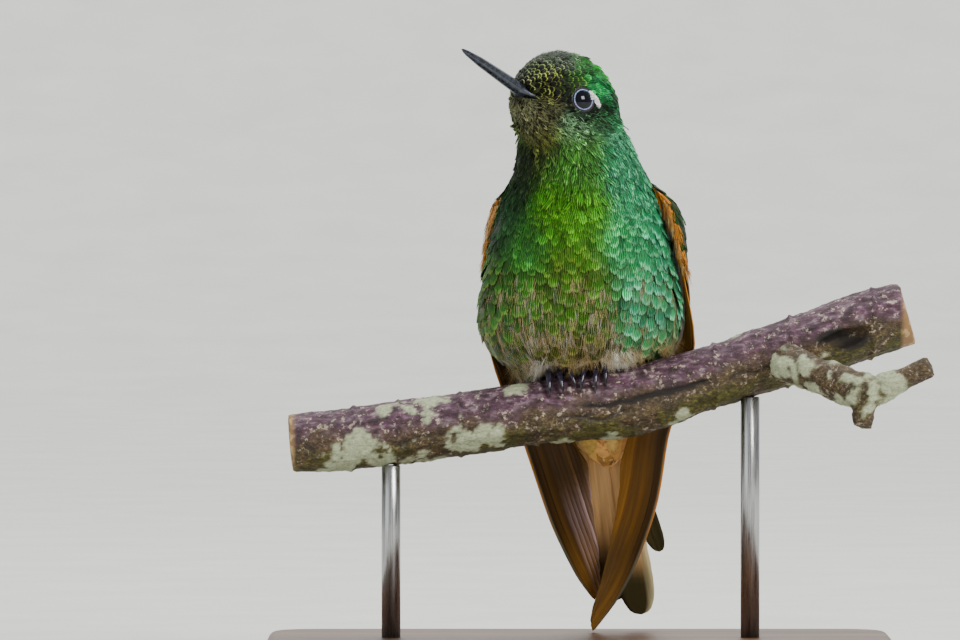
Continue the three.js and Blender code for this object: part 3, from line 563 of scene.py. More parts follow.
def feathers(name, ground, roots, spec, template):
    """Contour feathers as one mesh: thin vanes that lie along the surface.

    spec holds the length, width, lift and share of the margin, one for all feathers or one to a
    feather; each one's hue and its margin's hue; and for all of them how ragged and blunt they
    are, how they curve and turn, how much of the loose base shows (based), how fine the margin is,
    and whether it goes all round (scaled) or hangs below as a fringe."""
    points, normals, places = roots
    count = len(points)
    shape, faces = template
    u, v, w = shape.T
    v = np.sin(v * math.pi / 2)  # rows close up towards the tip, to round it
    way = spec["way"] if "way" in spec else lie(points, normals)
    yaw = rng.normal(0, spec.get("turn", 0.1), count)[:, None]
    side = np.cross(normals, way)
    way = way * np.cos(yaw) + side * np.sin(yaw)
    side = np.cross(normals, way)
    size = rng.normal(1, 0.08, count)
    length, width = spec["length"] * size, spec["width"] * size
    # The outline: narrow at the root, widest past its middle, rounded and frayed at the tip.
    columns, column = np.unique(np.round(u, 4), return_inverse=True)
    fray = rng.normal(0, spec.get("ragged", 0.06), (count, len(columns)))[:, column.ravel()]
    blunted = np.clip(1 - np.abs(2 * v - 1.04) ** spec.get("blunt", 3.2), 0.02, 1)
    outline = np.sqrt(blunted) * (0.62 + 0.38 * v)
    reach = v - spec.get("curve", 0.2) * (u * outline) ** 2 * v + fray * smoothstep(v, 0.45, 1)
    flat = (
        points[:, None, :]
        + side[:, None, :] * (width[:, None] * 0.5 * u * outline)[:, :, None]
        + way[:, None, :] * (length[:, None] * (reach - ROOT_TUCK))[:, :, None]
    )
    upper = w > 0.5
    # Both sides of the vane are draped from the same points, so that it keeps its thickness.
    order = np.lexsort((w, v, u))
    above, below = order[1::2], order[0::2]
    feet, ups = np.empty_like(flat), np.empty_like(flat)
    feet[:, above], ups[:, above] = ground.drape(flat[:, above])
    feet[:, below], ups[:, below] = feet[:, above], ups[:, above]
    tilt = rng.normal(1, 0.22, count)[:, None]
    lift = np.broadcast_to(spec["lift"], count)[:, None]
    height = lift * tilt * (0.12 + 0.88 * v ** 1.3) + VANE_GAP
    height = height - 0.056 * width[:, None] * u ** 2 * (0.3 + v)
    height = np.maximum(height, 0.02) - np.where(upper, 0, VANE_DEEP)
    up = unit(ups * 0.6 + normals[:, None, :] * 0.4)
    mesh = joined(name, clear_of_branch(feet + up * height[:, :, None]), faces)
    based = (spec.get("based", 0.0) * (1 - smoothstep(v + 0.1 * u ** 2, 0.35, 0.75)))[None, :, None]
    vane_hue = mix(spec["hue"][:, None, :], FEATHER_BASE, based)
    paint(mesh, "Hue", np.clip(vane_hue, 0, 1).reshape(-1, 3))
    paint(mesh, "Margin", np.hstack([
        np.repeat(np.clip(spec["margin"], 0, 1), len(shape), axis=0),
        np.repeat(np.broadcast_to(spec["share"], count), len(shape))[:, None],
    ]))
    round_rim = np.maximum(np.abs(u) ** 2, smoothstep(v, 0.35, 1.0))
    rim = mix(smoothstep(v + 0.2 * u ** 2, 0.45, 0.95), round_rim, spec.get("scaled", 1.0))
    rim = np.clip(rim, 0, 1) ** spec.get("fine", 1.0)
    paint(mesh, "Rim", np.tile(rim, count))
    map_uv(mesh, "OFBake", patches(places, np.stack([(u + 1) / 2, v], axis=1)))
    vane = np.stack([width[:, None] * 0.5 * u * outline, length[:, None] * v], axis=2)
    map_uv(mesh, "Vane", (vane + rng.random((count, 1, 2)) * 3.0).reshape(-1, 2))
    return keep(name, mesh)


def plumes(name, ground, roots, spec, template):
    """Downy tufts as one mesh: loose barbs that lie along the surface or hang free of it.

    spec holds its length, spread and lift and how far it hangs free, one for all tufts or one to a
    tuft, and the hue of each."""
    points, normals, places = roots
    count = len(points)
    keys, faces = template
    barb, v, turn = keys.T
    barbs = int(barb.max()) + 1
    rows = np.unique(v)
    way = spec["way"] if "way" in spec else lie(points, normals)
    side = np.cross(normals, way)
    length, spread, lift, free = (np.broadcast_to(spec.get(key, 0.0), count)[:, None]
                                  for key in ("length", "spread", "lift", "free"))
    fan = (rng.random((count, barbs)) - 0.5) * spread
    start = (rng.random((count, barbs)) - 0.5) * spec.get("tuft", 0.9)
    far = length * rng.uniform(0.65, 1.1, (count, barbs))
    high = lift * rng.uniform(0.3, 1.2, (count, barbs))
    bend = rng.normal(0, spec.get("curl", 0.25), (count, barbs))
    run = far[:, :, None] * rows
    off = start[:, :, None] + fan[:, :, None] * rows + bend[:, :, None] * rows ** 2
    flat = points[:, None, None] + way[:, None, None] * run[..., None]
    flat = flat + side[:, None, None] * off[..., None]
    feet, ups = ground.drape(flat)
    up = unit(ups + normals[:, None, None])
    raised = VANE_GAP + high[:, :, None] * rows ** 1.2
    hanging = free[..., None, None] * rows[:, None] ** 0.7
    line = mix(feet, flat, hanging) + up * raised[..., None]
    pick = barb.astype(int), np.searchsorted(rows, v)
    radius = spec.get("thick", 0.07) * (1 - 0.85 * v) * 0.5
    angle = turn * 2 * math.pi / 3
    laid = line[:, pick[0], pick[1]] + up[:, pick[0], pick[1]] * (radius * np.sin(angle))[:, None]
    laid = laid + side[:, None, :] * (radius * np.cos(angle))[:, None]
    mesh = joined(name, clear_of_branch(laid, 0.1), faces)
    shade = rng.uniform(*spec.get("shades", (0.75, 1.15)), (count, barbs))[:, pick[0]]
    hue = np.clip(spec["hue"][:, None, :] * shade[..., None] * (1 + 0.25 * v)[:, None], 0, 1)
    paint(mesh, "Hue", hue.reshape(-1, 3))
    map_uv(mesh, "OFBake", patches(places, np.stack([(barb + 0.5) / barbs, v], axis=1)))
    return keep(name, mesh)


# ---- Wings and tail ----------------------------------------------
def beside_body(points, clearance, cling):
    """Points moved level with the body's axis until they keep the clearance, or come in to it by
    the share cling, and the direction out of the body there."""
    height = np.maximum(points[:, 2], BODY_PATH[0, 0])
    right, left, front, back = sample(BODY_PATH[:, 1:], BODY_PATH[:, 0], height).T
    centre = np.stack([(right + left) / 2, (front + back) / 2], axis=1)
    half = np.stack([(left - right) / 2, (back - front) / 2], axis=1) + clearance
    offset = points[:, :2] - centre
    away = np.maximum(np.linalg.norm(offset / half, axis=1), 1e-3)
    share = np.where(away < 1, 1, cling)
    moved = np.where(points[:, 2] < BODY_PATH[0, 0] - 0.1, 0, share * (1 / away - 1))
    shift = np.hstack([offset * moved[:, None], np.zeros((len(points), 1))])
    out = np.hstack([offset / half ** 2, np.zeros((len(points), 1))])
    return points + shift, unit(out)


def wing_surface(side):
    """The folded wing as a surface: a share of the leading edge, the chord behind it and the
    lift out of it, in arrays, give points."""
    inwards = -SIDES[side]
    edge = smooth_path(LEADING_EDGE[side])
    steps = np.linalg.norm(np.diff(edge, axis=0), axis=1)
    length = steps.sum()
    where = np.concatenate([[0], np.cumsum(steps)]) / length
    tangents = unit(np.gradient(edge, axis=0))

    def at(t, chord, lift):
        t, chord, lift = (np.asarray(a, float).ravel() for a in np.broadcast_arrays(t, chord, lift))
        along = np.clip(t, 0, 1)
        tangent = unit(sample(tangents, where, along))
        twist = np.radians(mix(*WING_TWIST, smoothstep(along, 0.1, 0.62)))
        back = np.stack([inwards * np.sin(twist), np.cos(twist), np.zeros_like(twist)], axis=1)
        back = unit(back - tangent * across(back, tangent))
        out = np.cross(tangent, back) * -inwards
        flat = sample(edge, where, along) + tangent * (length * (t - along))[:, None]
        flat = flat + back * chord[:, None]
        near = 1 - smoothstep(along, CLING["from"], CLING["to"])
        cling = near * smoothstep(chord, 0, CLING["chord"])
        beside, body_out = beside_body(flat, WING_CLEARANCE, cling)
        return beside + unit(mix(out, body_out, cling[:, None])) * lift[:, None]

    return at


def tail_surface():
    """The spread tail as a plane, in the same way: chord runs to the bird's left."""
    root = np.array(TAIL["root"])
    run = np.array(TAIL["tip"]) - root
    down = unit(run)
    side = unit(np.array([1.0, 0, 0]) - down * down[0])
    back = np.cross(side, down)
    back = back if back[1] > 0 else -back

    def at(t, chord, lift):
        t, chord, lift = (np.asarray(a, float).ravel() for a in np.broadcast_arrays(t, chord, lift))
        return root + run * t[:, None] + side * chord[:, None] + back * lift[:, None]

    return at


def quill(surface, spec, template, cell):
    """One long feather on a surface, as points, with what its material reads.

    spec: root and tip as (share, chord), the widths of its outer and inner web, its lift, its
    length, how blunt it is, and colours(u, v) for its vane."""
    shape, _ = template
    u, v, w = shape.T
    # Columns close up round the shaft, and rows towards the tip.
    u = np.sign(u) * np.abs(u) ** 1.5
    v = 1 - (1 - v) ** 1.4
    taper = np.minimum(1, spec.get("waist", 0.3) + 1.9 * v)
    taper = taper * np.sqrt(np.clip(1 - v ** spec["blunt"], 0, 1))
    web = np.where(u < 0, spec["outer"], spec["inner"]) * taper + 0.03
    wear = spec.get("wear", 0.02) * np.sin(v * spec["ragged"]) * np.sin(v * 3.7 * spec["ragged"])
    x = u * web * (1 + wear * (np.abs(u) > 0.8))
    (t0, c0), (t1, c1) = spec["root"], spec["tip"]
    shaft = np.exp(-(u / 0.1) ** 2) * mix(0.16, 0.04, v)
    ribs = 0.025 * np.cos(u * 9 + spec["ragged"])
    half = np.where(w > 0.5, 0.04 + shaft, -0.04 - shaft)
    lift = spec["lift"] - 0.04 * u ** 2 * web + ribs + half
    chord = mix(c0, c1, v) + x * spec["turn"]
    points = surface(mix(t0, t1, v), chord, lift)
    column, row, columns, rows = cell
    local = np.stack([(column + 0.05 + 0.9 * (u + 1) / 2) / columns,
                      (row + 0.03 + 0.94 * v) / rows], axis=1)
    return {
        "points": points,
        "Hue": np.clip(spec["colours"](u, v), 0, 1),
        "Vane": np.stack([x + 7 * (column + columns * row), v * spec["length"]], axis=1),
        "OFBake": local,
    }


def quills(name, specs, surface, template, replaced):
    """Long feathers as one piece."""
    columns = math.ceil(math.sqrt(len(specs)))
    rows = math.ceil(len(specs) / columns)
    made = [quill(surface, spec, template, (i % columns, i // columns, columns, rows))
            for i, spec in enumerate(specs)]
    mesh = joined(name, np.array([m["points"] for m in made]), template[1])
    paint(mesh, "Hue", np.concatenate([m["Hue"] for m in made]))
    for key in ("Vane", "OFBake"):
        map_uv(mesh, key, np.concatenate([m[key] for m in made]))
    return keep(name, mesh, replaced)


UMBER = colour("#34220a")
SEPIA = colour("#5c4018")
TAWNY = colour("#8a5a18")
# The lilac-grey laid on the inner hems of the bird's right primaries is painted sheen.
LILAC_SHEEN = colour("#ac9090")
SLATE = colour("#4a5248")
ORANGE_BUFF = colour("#dc8c34")
BUFF = colour("#d8ac74")
PALE_BUFF = colour("#e8dcaa")
BRONZE = colour("#38321c")
RUSTY = colour("#94641c")
LILAC_PRIMARIES = (4, 7, 8)  # the ones on the bird's right whose pale inner hem lies open and carries the lilac-grey painted sheen


def ramp(u, *stops):
    """Colours that run from stop to stop along u."""
    places = [s[0] for s in stops]
    return sample(np.array([s[1] for s in stops]), places, u)


def band(u, middle, width):
    """1 in the middle of a band, fading to 0 past its width."""
    return np.exp(-((u - middle) / width) ** 2)[:, None]


def primary_reach(i):
    """How far down the wing the i-th primary, counted from the outermost, comes."""
    return 1.014 - 0.004 * i - 0.0036 * i * i


def primary_colours(i, side):
    """The vane of the i-th primary."""
    def at(u, v):
        body = ramp(v, (0, TAWNY), (0.22, SEPIA), (0.42, UMBER * 1.2), (0.8, UMBER),
                    (1, SEPIA * 1.6))
        body = mix(body, SEPIA * 1.3, 0.5 * band(u, 0.4, 0.16))
        if i == 0:
            hem = ramp(v, (0, ORANGE_BUFF), (0.62, ORANGE_BUFF * 0.8), (0.85, SLATE), (1, SEPIA))
            body = mix(body, SLATE, 0.8 * band(u, -0.5, 0.13) * smoothstep(v, 0.25, 0.45)[:, None])
            body = mix(body, hem, smoothstep(-u, 0.62, 0.78)[:, None])
        if side == "right":
            low = smoothstep(v * primary_reach(i), 0.68, 0.8)[:, None]
            hem = mix(SEPIA * 1.3, LILAC_SHEEN, low)
            inner = smoothstep(u, 0.68, 0.92)[:, None] * (0.95 if i in LILAC_PRIMARIES else 0.3)
        else:
            high = 1 - smoothstep(v * primary_reach(i), 0.74, 0.86)[:, None]
            hem = mix(SEPIA * 1.4, RUSTY, high)
            inner = smoothstep(u, 0.5, 0.85)[:, None] * (0.95 if i > 3 else 0.4)
        return mix(body, hem, inner)
    return at


def wing_specs(side):
    specs = []
    for i in range(10):
        specs.append({
            "root": (0.12, 0.7 + 0.5 * i), "outer": 0.75 + 0.06 * i, "inner": 3.0 - 0.06 * i,
            "tip": (primary_reach(i), -0.3 + (0.85 if side == "right" else 0.55) * i),
            "lift": -0.2 + 0.055 * i,
            "blunt": 7, "ragged": 40 + 7 * i, "turn": 1, "length": 70 - 3 * i,
            "colours": primary_colours(i, side),
        })
    for i in range(6):
        specs.append({
            "root": (0.13, 3.0 + 1.5 * i), "tip": (0.46 - 0.024 * i, 3.0 + 1.75 * i),
            "outer": 1.5, "inner": 1.7, "lift": 0.55 + 0.06 * i, "blunt": 6,
            "ragged": 30 + 9 * i, "turn": 1, "length": 25,
            "colours": lambda u, v: ramp(v, (0, SEPIA), (0.6, UMBER), (1, UMBER * 1.4)),
        })
    return specs


def rectrix_colours(pair, slipped):
    """Buff tail feathers with dark bronze tips. The middle pair is bronze-green all over."""
    def at(u, v):
        if slipped or pair == 4:
            return ramp(v, (0, SEPIA), (0.5, BRONZE * 1.4), (1, BRONZE * 1.2))
        dark = smoothstep(v + 0.05 * u * np.abs(u), 0.66, 0.86)[:, None]
        edge = smoothstep(-u, 0.6, 0.85)[:, None]
        base = ramp(v, (0, BUFF), (0.5, BUFF * 1.1), (1, BUFF))
        base = mix(base, PALE_BUFF, 0.85 * edge)
        return mix(base, mix(BRONZE, PALE_BUFF, edge * (0.8 if pair == 0 else 0.4)), dark)
    return at


def tail_specs():
    specs = []
    for pair in range(5):
        for turn in (-1, 1):
            slipped = pair == 4 and turn > 0
            inner = pair == 4
            chord = 7.0 if slipped else turn * (2.6 - 0.6 * pair)
            half = 1.7 if slipped else 2.4 if inner else 3.0
            short = 0.1 if pair < 2 and turn < 0 else 0.0
            tip = 1.02 - short - 0.035 * pair - (0.11 if inner else 0)
            specs.append({
                "root": (0.0, turn * 1.3), "tip": (tip, chord),
                "outer": half, "inner": half, "waist": 0.75,
                "lift": (2 * pair + (turn + 1) / 2) * 0.17 - 0.8, "blunt": 16, "length": 38,
                "ragged": 50 + 9 * pair, "turn": -turn, "colours": rectrix_colours(pair, slipped),
            })
    return specs


# ---- Head, feet and perch ----------------------------------------
def eye_frame(side):
    """The eyeball's centre and the way it looks."""
    sign = SIDES[side]
    centre = in_head(EYE["forward"], sign * EYE["side"], EYE["up"])
    return centre, FORWARD * math.cos(EYE["axis"]) + LEFT * sign * math.sin(EYE["axis"])


def ring_round_eye(side, depth, major, minor, flat):
    """A closed ring round the eye: a circle spun about the way it looks."""
    centre, looks = eye_frame(side)
    bm = bmesh.new()
    bmesh.ops.create_circle(bm, segments=10, radius=minor)
    upright = Matrix.Rotation(math.pi / 2, 3, "X")
    bmesh.ops.rotate(bm, verts=bm.verts, cent=(0, 0, 0), matrix=upright)
    bmesh.ops.scale(bm, verts=bm.verts, vec=(1, 1, flat))
    bmesh.ops.translate(bm, verts=bm.verts, vec=(major, 0, depth))
    bmesh.ops.spin(bm, geom=bm.verts[:] + bm.edges[:], cent=(0, 0, 0), axis=(0, 0, 1),
                   dvec=(0, 0, 0), angle=2 * math.pi, steps=56, use_merge=True)
    bmesh.ops.remove_doubles(bm, verts=bm.verts, dist=1e-4)
    bmesh.ops.recalc_face_normals(bm, faces=bm.faces)
    across_axis = unit(np.cross(looks, UP))
    over_axis = np.cross(across_axis, looks)
    turn = Matrix([[*across_axis, 0], [*over_axis, 0], [*looks, 0], [0, 0, 0, 1]]).transposed()
    bmesh.ops.transform(bm, verts=bm.verts, matrix=Matrix.Translation(centre) @ turn)
    return bm


def eyeball(side):
    centre, looks = eye_frame(side)
    bm = bmesh.new()
    bmesh.ops.create_uvsphere(bm, u_segments=40, v_segments=24, radius=EYE["radius"])
    turn = Vector(looks).to_track_quat("Z", "Y").to_matrix().to_4x4()
    bmesh.ops.transform(bm, verts=bm.verts, matrix=Matrix.Translation(centre) @ turn)
    return bm


def mandible(upper):
    """One half of the bill: a long, slim cone, flat where it meets the other."""
    sign = 1 if upper else -1

    def place(turn, length):
        length = 1 - (1 - length) ** 1.3
        tip = BILL["tip"] - (0.0 if upper else 0.35)
        forward = mix(BILL["root"], tip, length)
        half = np.interp(BILL["tip"] - forward, BILL_HALF[:, 0], BILL_HALF[:, 1])
        half = half * np.sqrt(np.clip(1 - length ** 60, 0, 1))
        rise = np.maximum(np.sin(turn) * sign, -0.12)
        ridge = 0.14 * np.exp(-((rise - 1) / 0.1) ** 2) * (1 if upper else 0.3)
        thin = np.interp(forward, GAPE_FLARE[:, 0], GAPE_FLARE[:, 1])
        wide = np.interp(forward, GAPE_FLARE[:, 0], GAPE_FLARE[:, 2])
        up = (rise * (1.0 if upper else 0.88) + ridge) * half * thin * sign
        level = mouth_level(forward) + 0.03 * sign
        # The far corner of the mouth lies under its feathers.
        wide = wide * np.where(np.cos(turn) < 0, 0.75, 1.0)
        side = np.maximum(half * (1.06 if upper else 0.94), wide)
        return in_head(forward, np.cos(turn) * side, level + up)

    return tube(28, 48, place)


def on_branch(x, degrees, above):
    """A point over the branch at x, turned from its top to the front, so high above the bark."""
    centre = sample(BRANCH_PATH[:, :3], BRANCH_PATH[:, 0], [x])[0]
    reach = np.interp(x, BRANCH_PATH[:, 0], BRANCH_PATH[:, 3]) + above
    angle = math.radians(degrees)
    return np.array([x, centre[1] - reach * math.sin(angle), centre[2] + reach * math.cos(angle)])


def digit(start, end, radius_at, around, along, arch=0.0):
    """A tube laid over the branch between two (x, degrees, above)."""
    path = [on_branch(*(mix(np.array(start), np.array(end), s)
                        + np.array([0, 0, arch * math.sin(math.pi * s)])))
            for s in np.linspace(0, 1, 24)]
    return rod_along(np.array(path), radius_at, around, along)


def foot(side):
    """The toes and the claws of a foot."""
    spec = FEET[side]
    lift = TOE["lift"]
    toes, claws = [], []

    def scutes(turn, length):
        swell = 0.9 + 0.12 * np.abs(np.sin(length * 9 * math.pi)) + 0.1 * np.sin(length * math.pi)
        ends = np.sqrt(np.clip(1 - (2 * length - 1) ** 12, 0, 1))
        return TOE["radius"] * swell * ends

    def hook(turn, length):
        thick = mix(CLAW_SHAPE["root"], CLAW_SHAPE["point"], length ** 2.2)
        return thick * np.sqrt(np.clip(1 - (1 - length) ** 14, 0, 1))

    for spread, bend, reach in zip(spec["spread"], spec["claws"], spec["reach"]):
        knuckle = spec["x"] + spread
        toes.append(digit((spec["x"] + 0.88 * spread, TOE["from"], lift),
                          (knuckle, TOE["to"], CLAW_SHAPE["lift"]), scutes, 14, 30))
        claws.append(digit((knuckle, CLAW_SHAPE["from"], CLAW_SHAPE["lift"]),
                           (knuckle + bend, reach, 0.15), hook, 12, 24, CLAW_SHAPE["arch"]))
    hind = spec["x"] + HALLUX["aside"]
    toes.append(digit((spec["x"], HALLUX["from"], lift), (hind, HALLUX["to"], lift),
                      scutes, 14, 30))
    claws.append(digit((hind, HALLUX["claw_from"], lift), (hind, HALLUX["claw_to"], 0.2),
                       hook, 12, 20, arch=0.2))
    return toes, claws


def noise_at(points, size, seed, octaves=3):
    """Fractal noise with features of about that size."""
    shift = Vector((seed * 17.3, seed * 5.1, seed * 9.7))
    return np.array([noise.fractal(Vector(p) / size + shift, 1.0, 2.0, octaves) for p in points])


# Lichen on the bark: x, degrees from the top to the front, and reach.
LICHENS = [
    (-10.0, 24, 2.3), (-31.0, 38, 2.2), (-24.5, 42, 3.6), (-35.2, 100, 3.6), (-38.0, 150, 4.2),
    (-32.0, 148, 3.2), (-18.0, 126, 3.8), (-13.6, 122, 3.0), (26.0, -40, 3.4), (4.0, 178, 3.4),
    (-2.5, 165, 2.2), (16.0, 160, 2.4), (-25.0, 190, 5.0), (36.0, 150, 4.0),
]
# Ribs round the bark at the joints of its growth: x and height.
RINGS = [(-36.0, 0.35), (-29.0, 0.3), (-19.1, 0.3), (-6.7, 0.4), (8.4, 0.18), (21.2, 0.4),
         (33.2, 0.45), (46.4, 0.4)]
# Scars of buds: x, degrees and reach.
BUD_SCARS = [(-8.4, 46, 1.2), (-27.4, 125, 1.6), (-18.4, 40, 0.8), (19.5, 50, 0.8), (30.0, 40, 0.8)]

KNOT = {"at": (41.6, -5.0, 10.9), "half": (4.9, 3.0, 2.0)}  # the knot's hole under the twig, painted near black as the shade in it


def bark():
    """The branch and its twig as one weathered surface."""
    mesh = fused(("perch_branch", "perch_twig"), BARK_VOXEL, 0.1, 4, 0.1)
    points, normals = points_of(mesh), normals_of(mesh)
    x = points[:, 0]
    centre = sample(BRANCH_PATH[:, :3], BRANCH_PATH[:, 0], x)
    radius = np.interp(x, BRANCH_PATH[:, 0], BRANCH_PATH[:, 3])
    off = points - centre
    turn = np.degrees(np.arctan2(-off[:, 1], off[:, 2]))  # 0 on top, 90 at the front
    depth = np.hypot(off[:, 1], off[:, 2])
    on_stem = 1 - smoothstep(depth - radius, 0.8, 1.6)
    ends = smoothstep(x, -45.9, -44.9) * (1 - smoothstep(x, 50.6, 51.5))
    coarse, medium, fine = (noise_at(points, s, i) for i, s in enumerate((7.0, 2.4, 0.9)))
    stretched = noise_at(points * (0.3, 1, 1), 0.8, 5)

    rings = sum(h * np.exp(-((x - at - 0.5 * coarse - 0.4 * np.sin(np.radians(turn))) / 0.3) ** 2)
                for at, h in RINGS)
    crack_line = 86 + 4 * np.sin(x / 3.5) + 7 * coarse + 1.1 * np.maximum(x - 7, 0)
    crack = np.exp(-((turn - crack_line) / np.interp(x, [0, 8, 14, 20], [3.0, 5.0, 8.0, 4.0])) ** 2)
    crack *= smoothstep(x, -3, 3) * (1 - smoothstep(x, 19, 21.5)) * on_stem
    second = np.exp(-((turn - 106 - 16 * coarse - 4 * np.sin(x / 3)) / 2.6) ** 2)
    crack = np.maximum(crack, 0.6 * second * smoothstep(np.sin(x / 4.2 + 1), 0.1, 0.6) * on_stem)

    lichen = np.zeros(len(points))
    for at, degrees, reach in LICHENS:
        apart = np.hypot(x - at, np.radians((turn - degrees + 180) % 360 - 180) * radius)
        rough = apart / reach + 0.75 * medium + 0.3 * fine
        lichen = np.maximum(lichen, 1 - smoothstep(rough, 0.55, 0.8))
    lichen = np.maximum(lichen, (1 - on_stem) * smoothstep(coarse + 0.6 * medium, -0.15, 0.15))
    moss = smoothstep(np.abs(turn), 100, 130) * smoothstep(coarse + 0.5 * medium, -0.5, 0.2)
    scars = np.zeros(len(points))
    for at, degrees, reach in BUD_SCARS:
        apart = np.hypot(x - at, np.radians(turn - degrees) * radius) / reach
        scars = np.maximum(scars, np.exp(-apart ** 2 * 1.5) - 0.8 * np.exp(-apart ** 2 * 7))
    relief = (0.10 * medium + 0.13 * stretched + 0.08 * fine + rings * on_stem - 0.8 * crack
              + lichen * (0.12 + 0.22 * np.abs(fine)) + moss * 0.12 + 0.6 * scars)
    move_points(mesh, points + normals * np.clip(relief * ends, -0.8, 0.65)[:, None])
    off_knot = np.linalg.norm((points - KNOT["at"]) / KNOT["half"], axis=1)
    hole_shade = 1 - smoothstep(off_knot, 0.75, 1.05)
    paint(mesh, "Lichen", lichen * ends)
    paint(mesh, "Moss", moss)
    # The cracks and the knot's hole are painted near black, as the shade in them; the cracks are
    # also cut into the relief.
    paint(mesh, "CrackShade", np.clip(np.maximum(1.5 * crack, hole_shade), 0, 1))
    paint(mesh, "Purple", on_stem * smoothstep(45 - np.abs(turn - 35) + 25 * coarse, -25, 15))
    paint(mesh, "Cut", (1 - ends) * on_stem)
    paint(mesh, "Ring", depth)
    return mesh


def base_plate():
    """The base: a plate with round corners and a moulded upper edge."""
    bm = bmesh.new()
    bmesh.ops.create_cube(bm, size=1)
    bmesh.ops.scale(bm, verts=bm.verts, vec=(BASE["length"], BASE["depth"], BASE["thickness"]))
    uprights = [e for e in bm.edges if abs(e.verts[0].co.z - e.verts[1].co.z) > 1]
    bmesh.ops.bevel(bm, geom=uprights, offset=BASE["corner"], affect="EDGES", segments=10,
                    profile=0.5, material=-1)
    for high, size, steps in ((True, 1.6, 5), (False, 0.5, 2)):
        rim = [e for e in bm.edges if len({round(v.co.z, 3) for v in e.verts}) == 1
               and (e.verts[0].co.z > 0) == high and e.calc_face_angle(0) > 1]
        bmesh.ops.bevel(bm, geom=rim, offset=size, affect="EDGES", segments=steps, profile=0.5,
                        material=-1)
    bmesh.ops.translate(bm, verts=bm.verts, vec=(0, 0, BASE["thickness"] / 2 - PERCH_HEIGHT))
    return bm


def turned(profile, x, around=40):
    """A turned piece: a profile of (radius, height above the table) spun about the rod at x."""
    bm = bmesh.new()
    verts = [bm.verts.new((r, 0, h - PERCH_HEIGHT)) for r, h in profile]
    edges = [bm.edges.new(pair) for pair in zip(verts, verts[1:])]
    bmesh.ops.spin(bm, geom=verts + edges, cent=(0, 0, 0), axis=(0, 0, 1), dvec=(0, 0, 0),
                   angle=2 * math.pi, steps=around, use_merge=True)
    bmesh.ops.remove_doubles(bm, verts=bm.verts, dist=1e-4)
    bmesh.ops.recalc_face_normals(bm, faces=bm.faces)
    bmesh.ops.translate(bm, verts=bm.verts, vec=(x, 0, 0))
    return bm


# ---- Materials ---------------------------------------------------
PER_METRE = 1000.0
FACTOR, COLOUR_A, COLOUR_B, MIXED = 0, 6, 7, 2  # the sockets of a Mix node set to colour
DULL = 0.2  # specular level of feathers, whose fine roughness keeps them from mirroring the sky


def blank(name):
    """An empty material, its node tree, and the place on the piece in its own axes."""
    material = bpy.data.materials.new(name)
    material.use_nodes = True
    tree = material.node_tree
    tree.nodes.clear()
    return material, tree, add(tree, "TexCoord").outputs["Object"]


def add(tree, kind, inputs=None, stops=None, **settings):
    """Adds a node. Settings are its own properties. Inputs are plain values, sockets, or nodes,
    which give their first or mixed output. Stops are a colour ramp's places and hex colours."""
    node = tree.nodes.new("ShaderNode" + kind)
    for key, value in settings.items():
        setattr(node, key, value)
    for key, value in (inputs or {}).items():
        if isinstance(value, bpy.types.Node):
            value = value.outputs[MIXED if value.bl_idname == "ShaderNodeMix" else 0]
        if isinstance(value, bpy.types.NodeSocket):
            tree.links.new(value, node.inputs[key])
        else:
            node.inputs[key].default_value = value
    if stops:
        elements = node.color_ramp.elements
        while len(elements) < len(stops):
            elements.new(0.5)
        for element, (place, code) in zip(elements, stops):
            element.position, element.color = place, linear(code)
    return node


def laid_over(tree, below, *layers):
    """A colour with others laid over it in turn, each by its share."""
    for share, above in layers:
        below = add(tree, "Mix", {FACTOR: share, COLOUR_A: below, COLOUR_B: above},
                    data_type="RGBA")
    return below


def closed(material, inputs):
    """The material with its shader and output."""
    shader = add(material.node_tree, "BsdfPrincipled", inputs)
    add(material.node_tree, "OutputMaterial", {"Surface": shader})
    return material


def patterned(name, kind, texture, stops, shader, bump=None, rough=None, place=None, **settings):
    """A material that one pattern tints, roughens and raises: the texture's inputs, the stops of
    its colours and the shader's inputs; bump as strength and height in millimetres, rough as the
    roughness where the pattern is low and high, and place as how the pattern is turned or
    stretched on the piece. A bump of negative strength raises the pattern's low parts."""
    material, tree, where = blank(name)
    if place:
        where = add(tree, "Mapping", {"Vector": where, **place})
    pattern = add(tree, kind, {"Vector": where, **texture}, **settings)
    shader = {"Base Color": add(tree, "ValToRGB", {"Fac": pattern}, stops=stops), **shader}
    if rough:
        shader["Roughness"] = add(tree, "MapRange", {0: pattern, 1: 0.3, 2: 0.7, 3: rough[0],
                                                     4: rough[1]})
    if bump:
        strength, high = bump
        shader["Normal"] = add(tree, "Bump", {"Height": pattern, "Strength": abs(strength),
                                              "Distance": high * MM}, invert=strength < 0)
    return closed(material, shader)


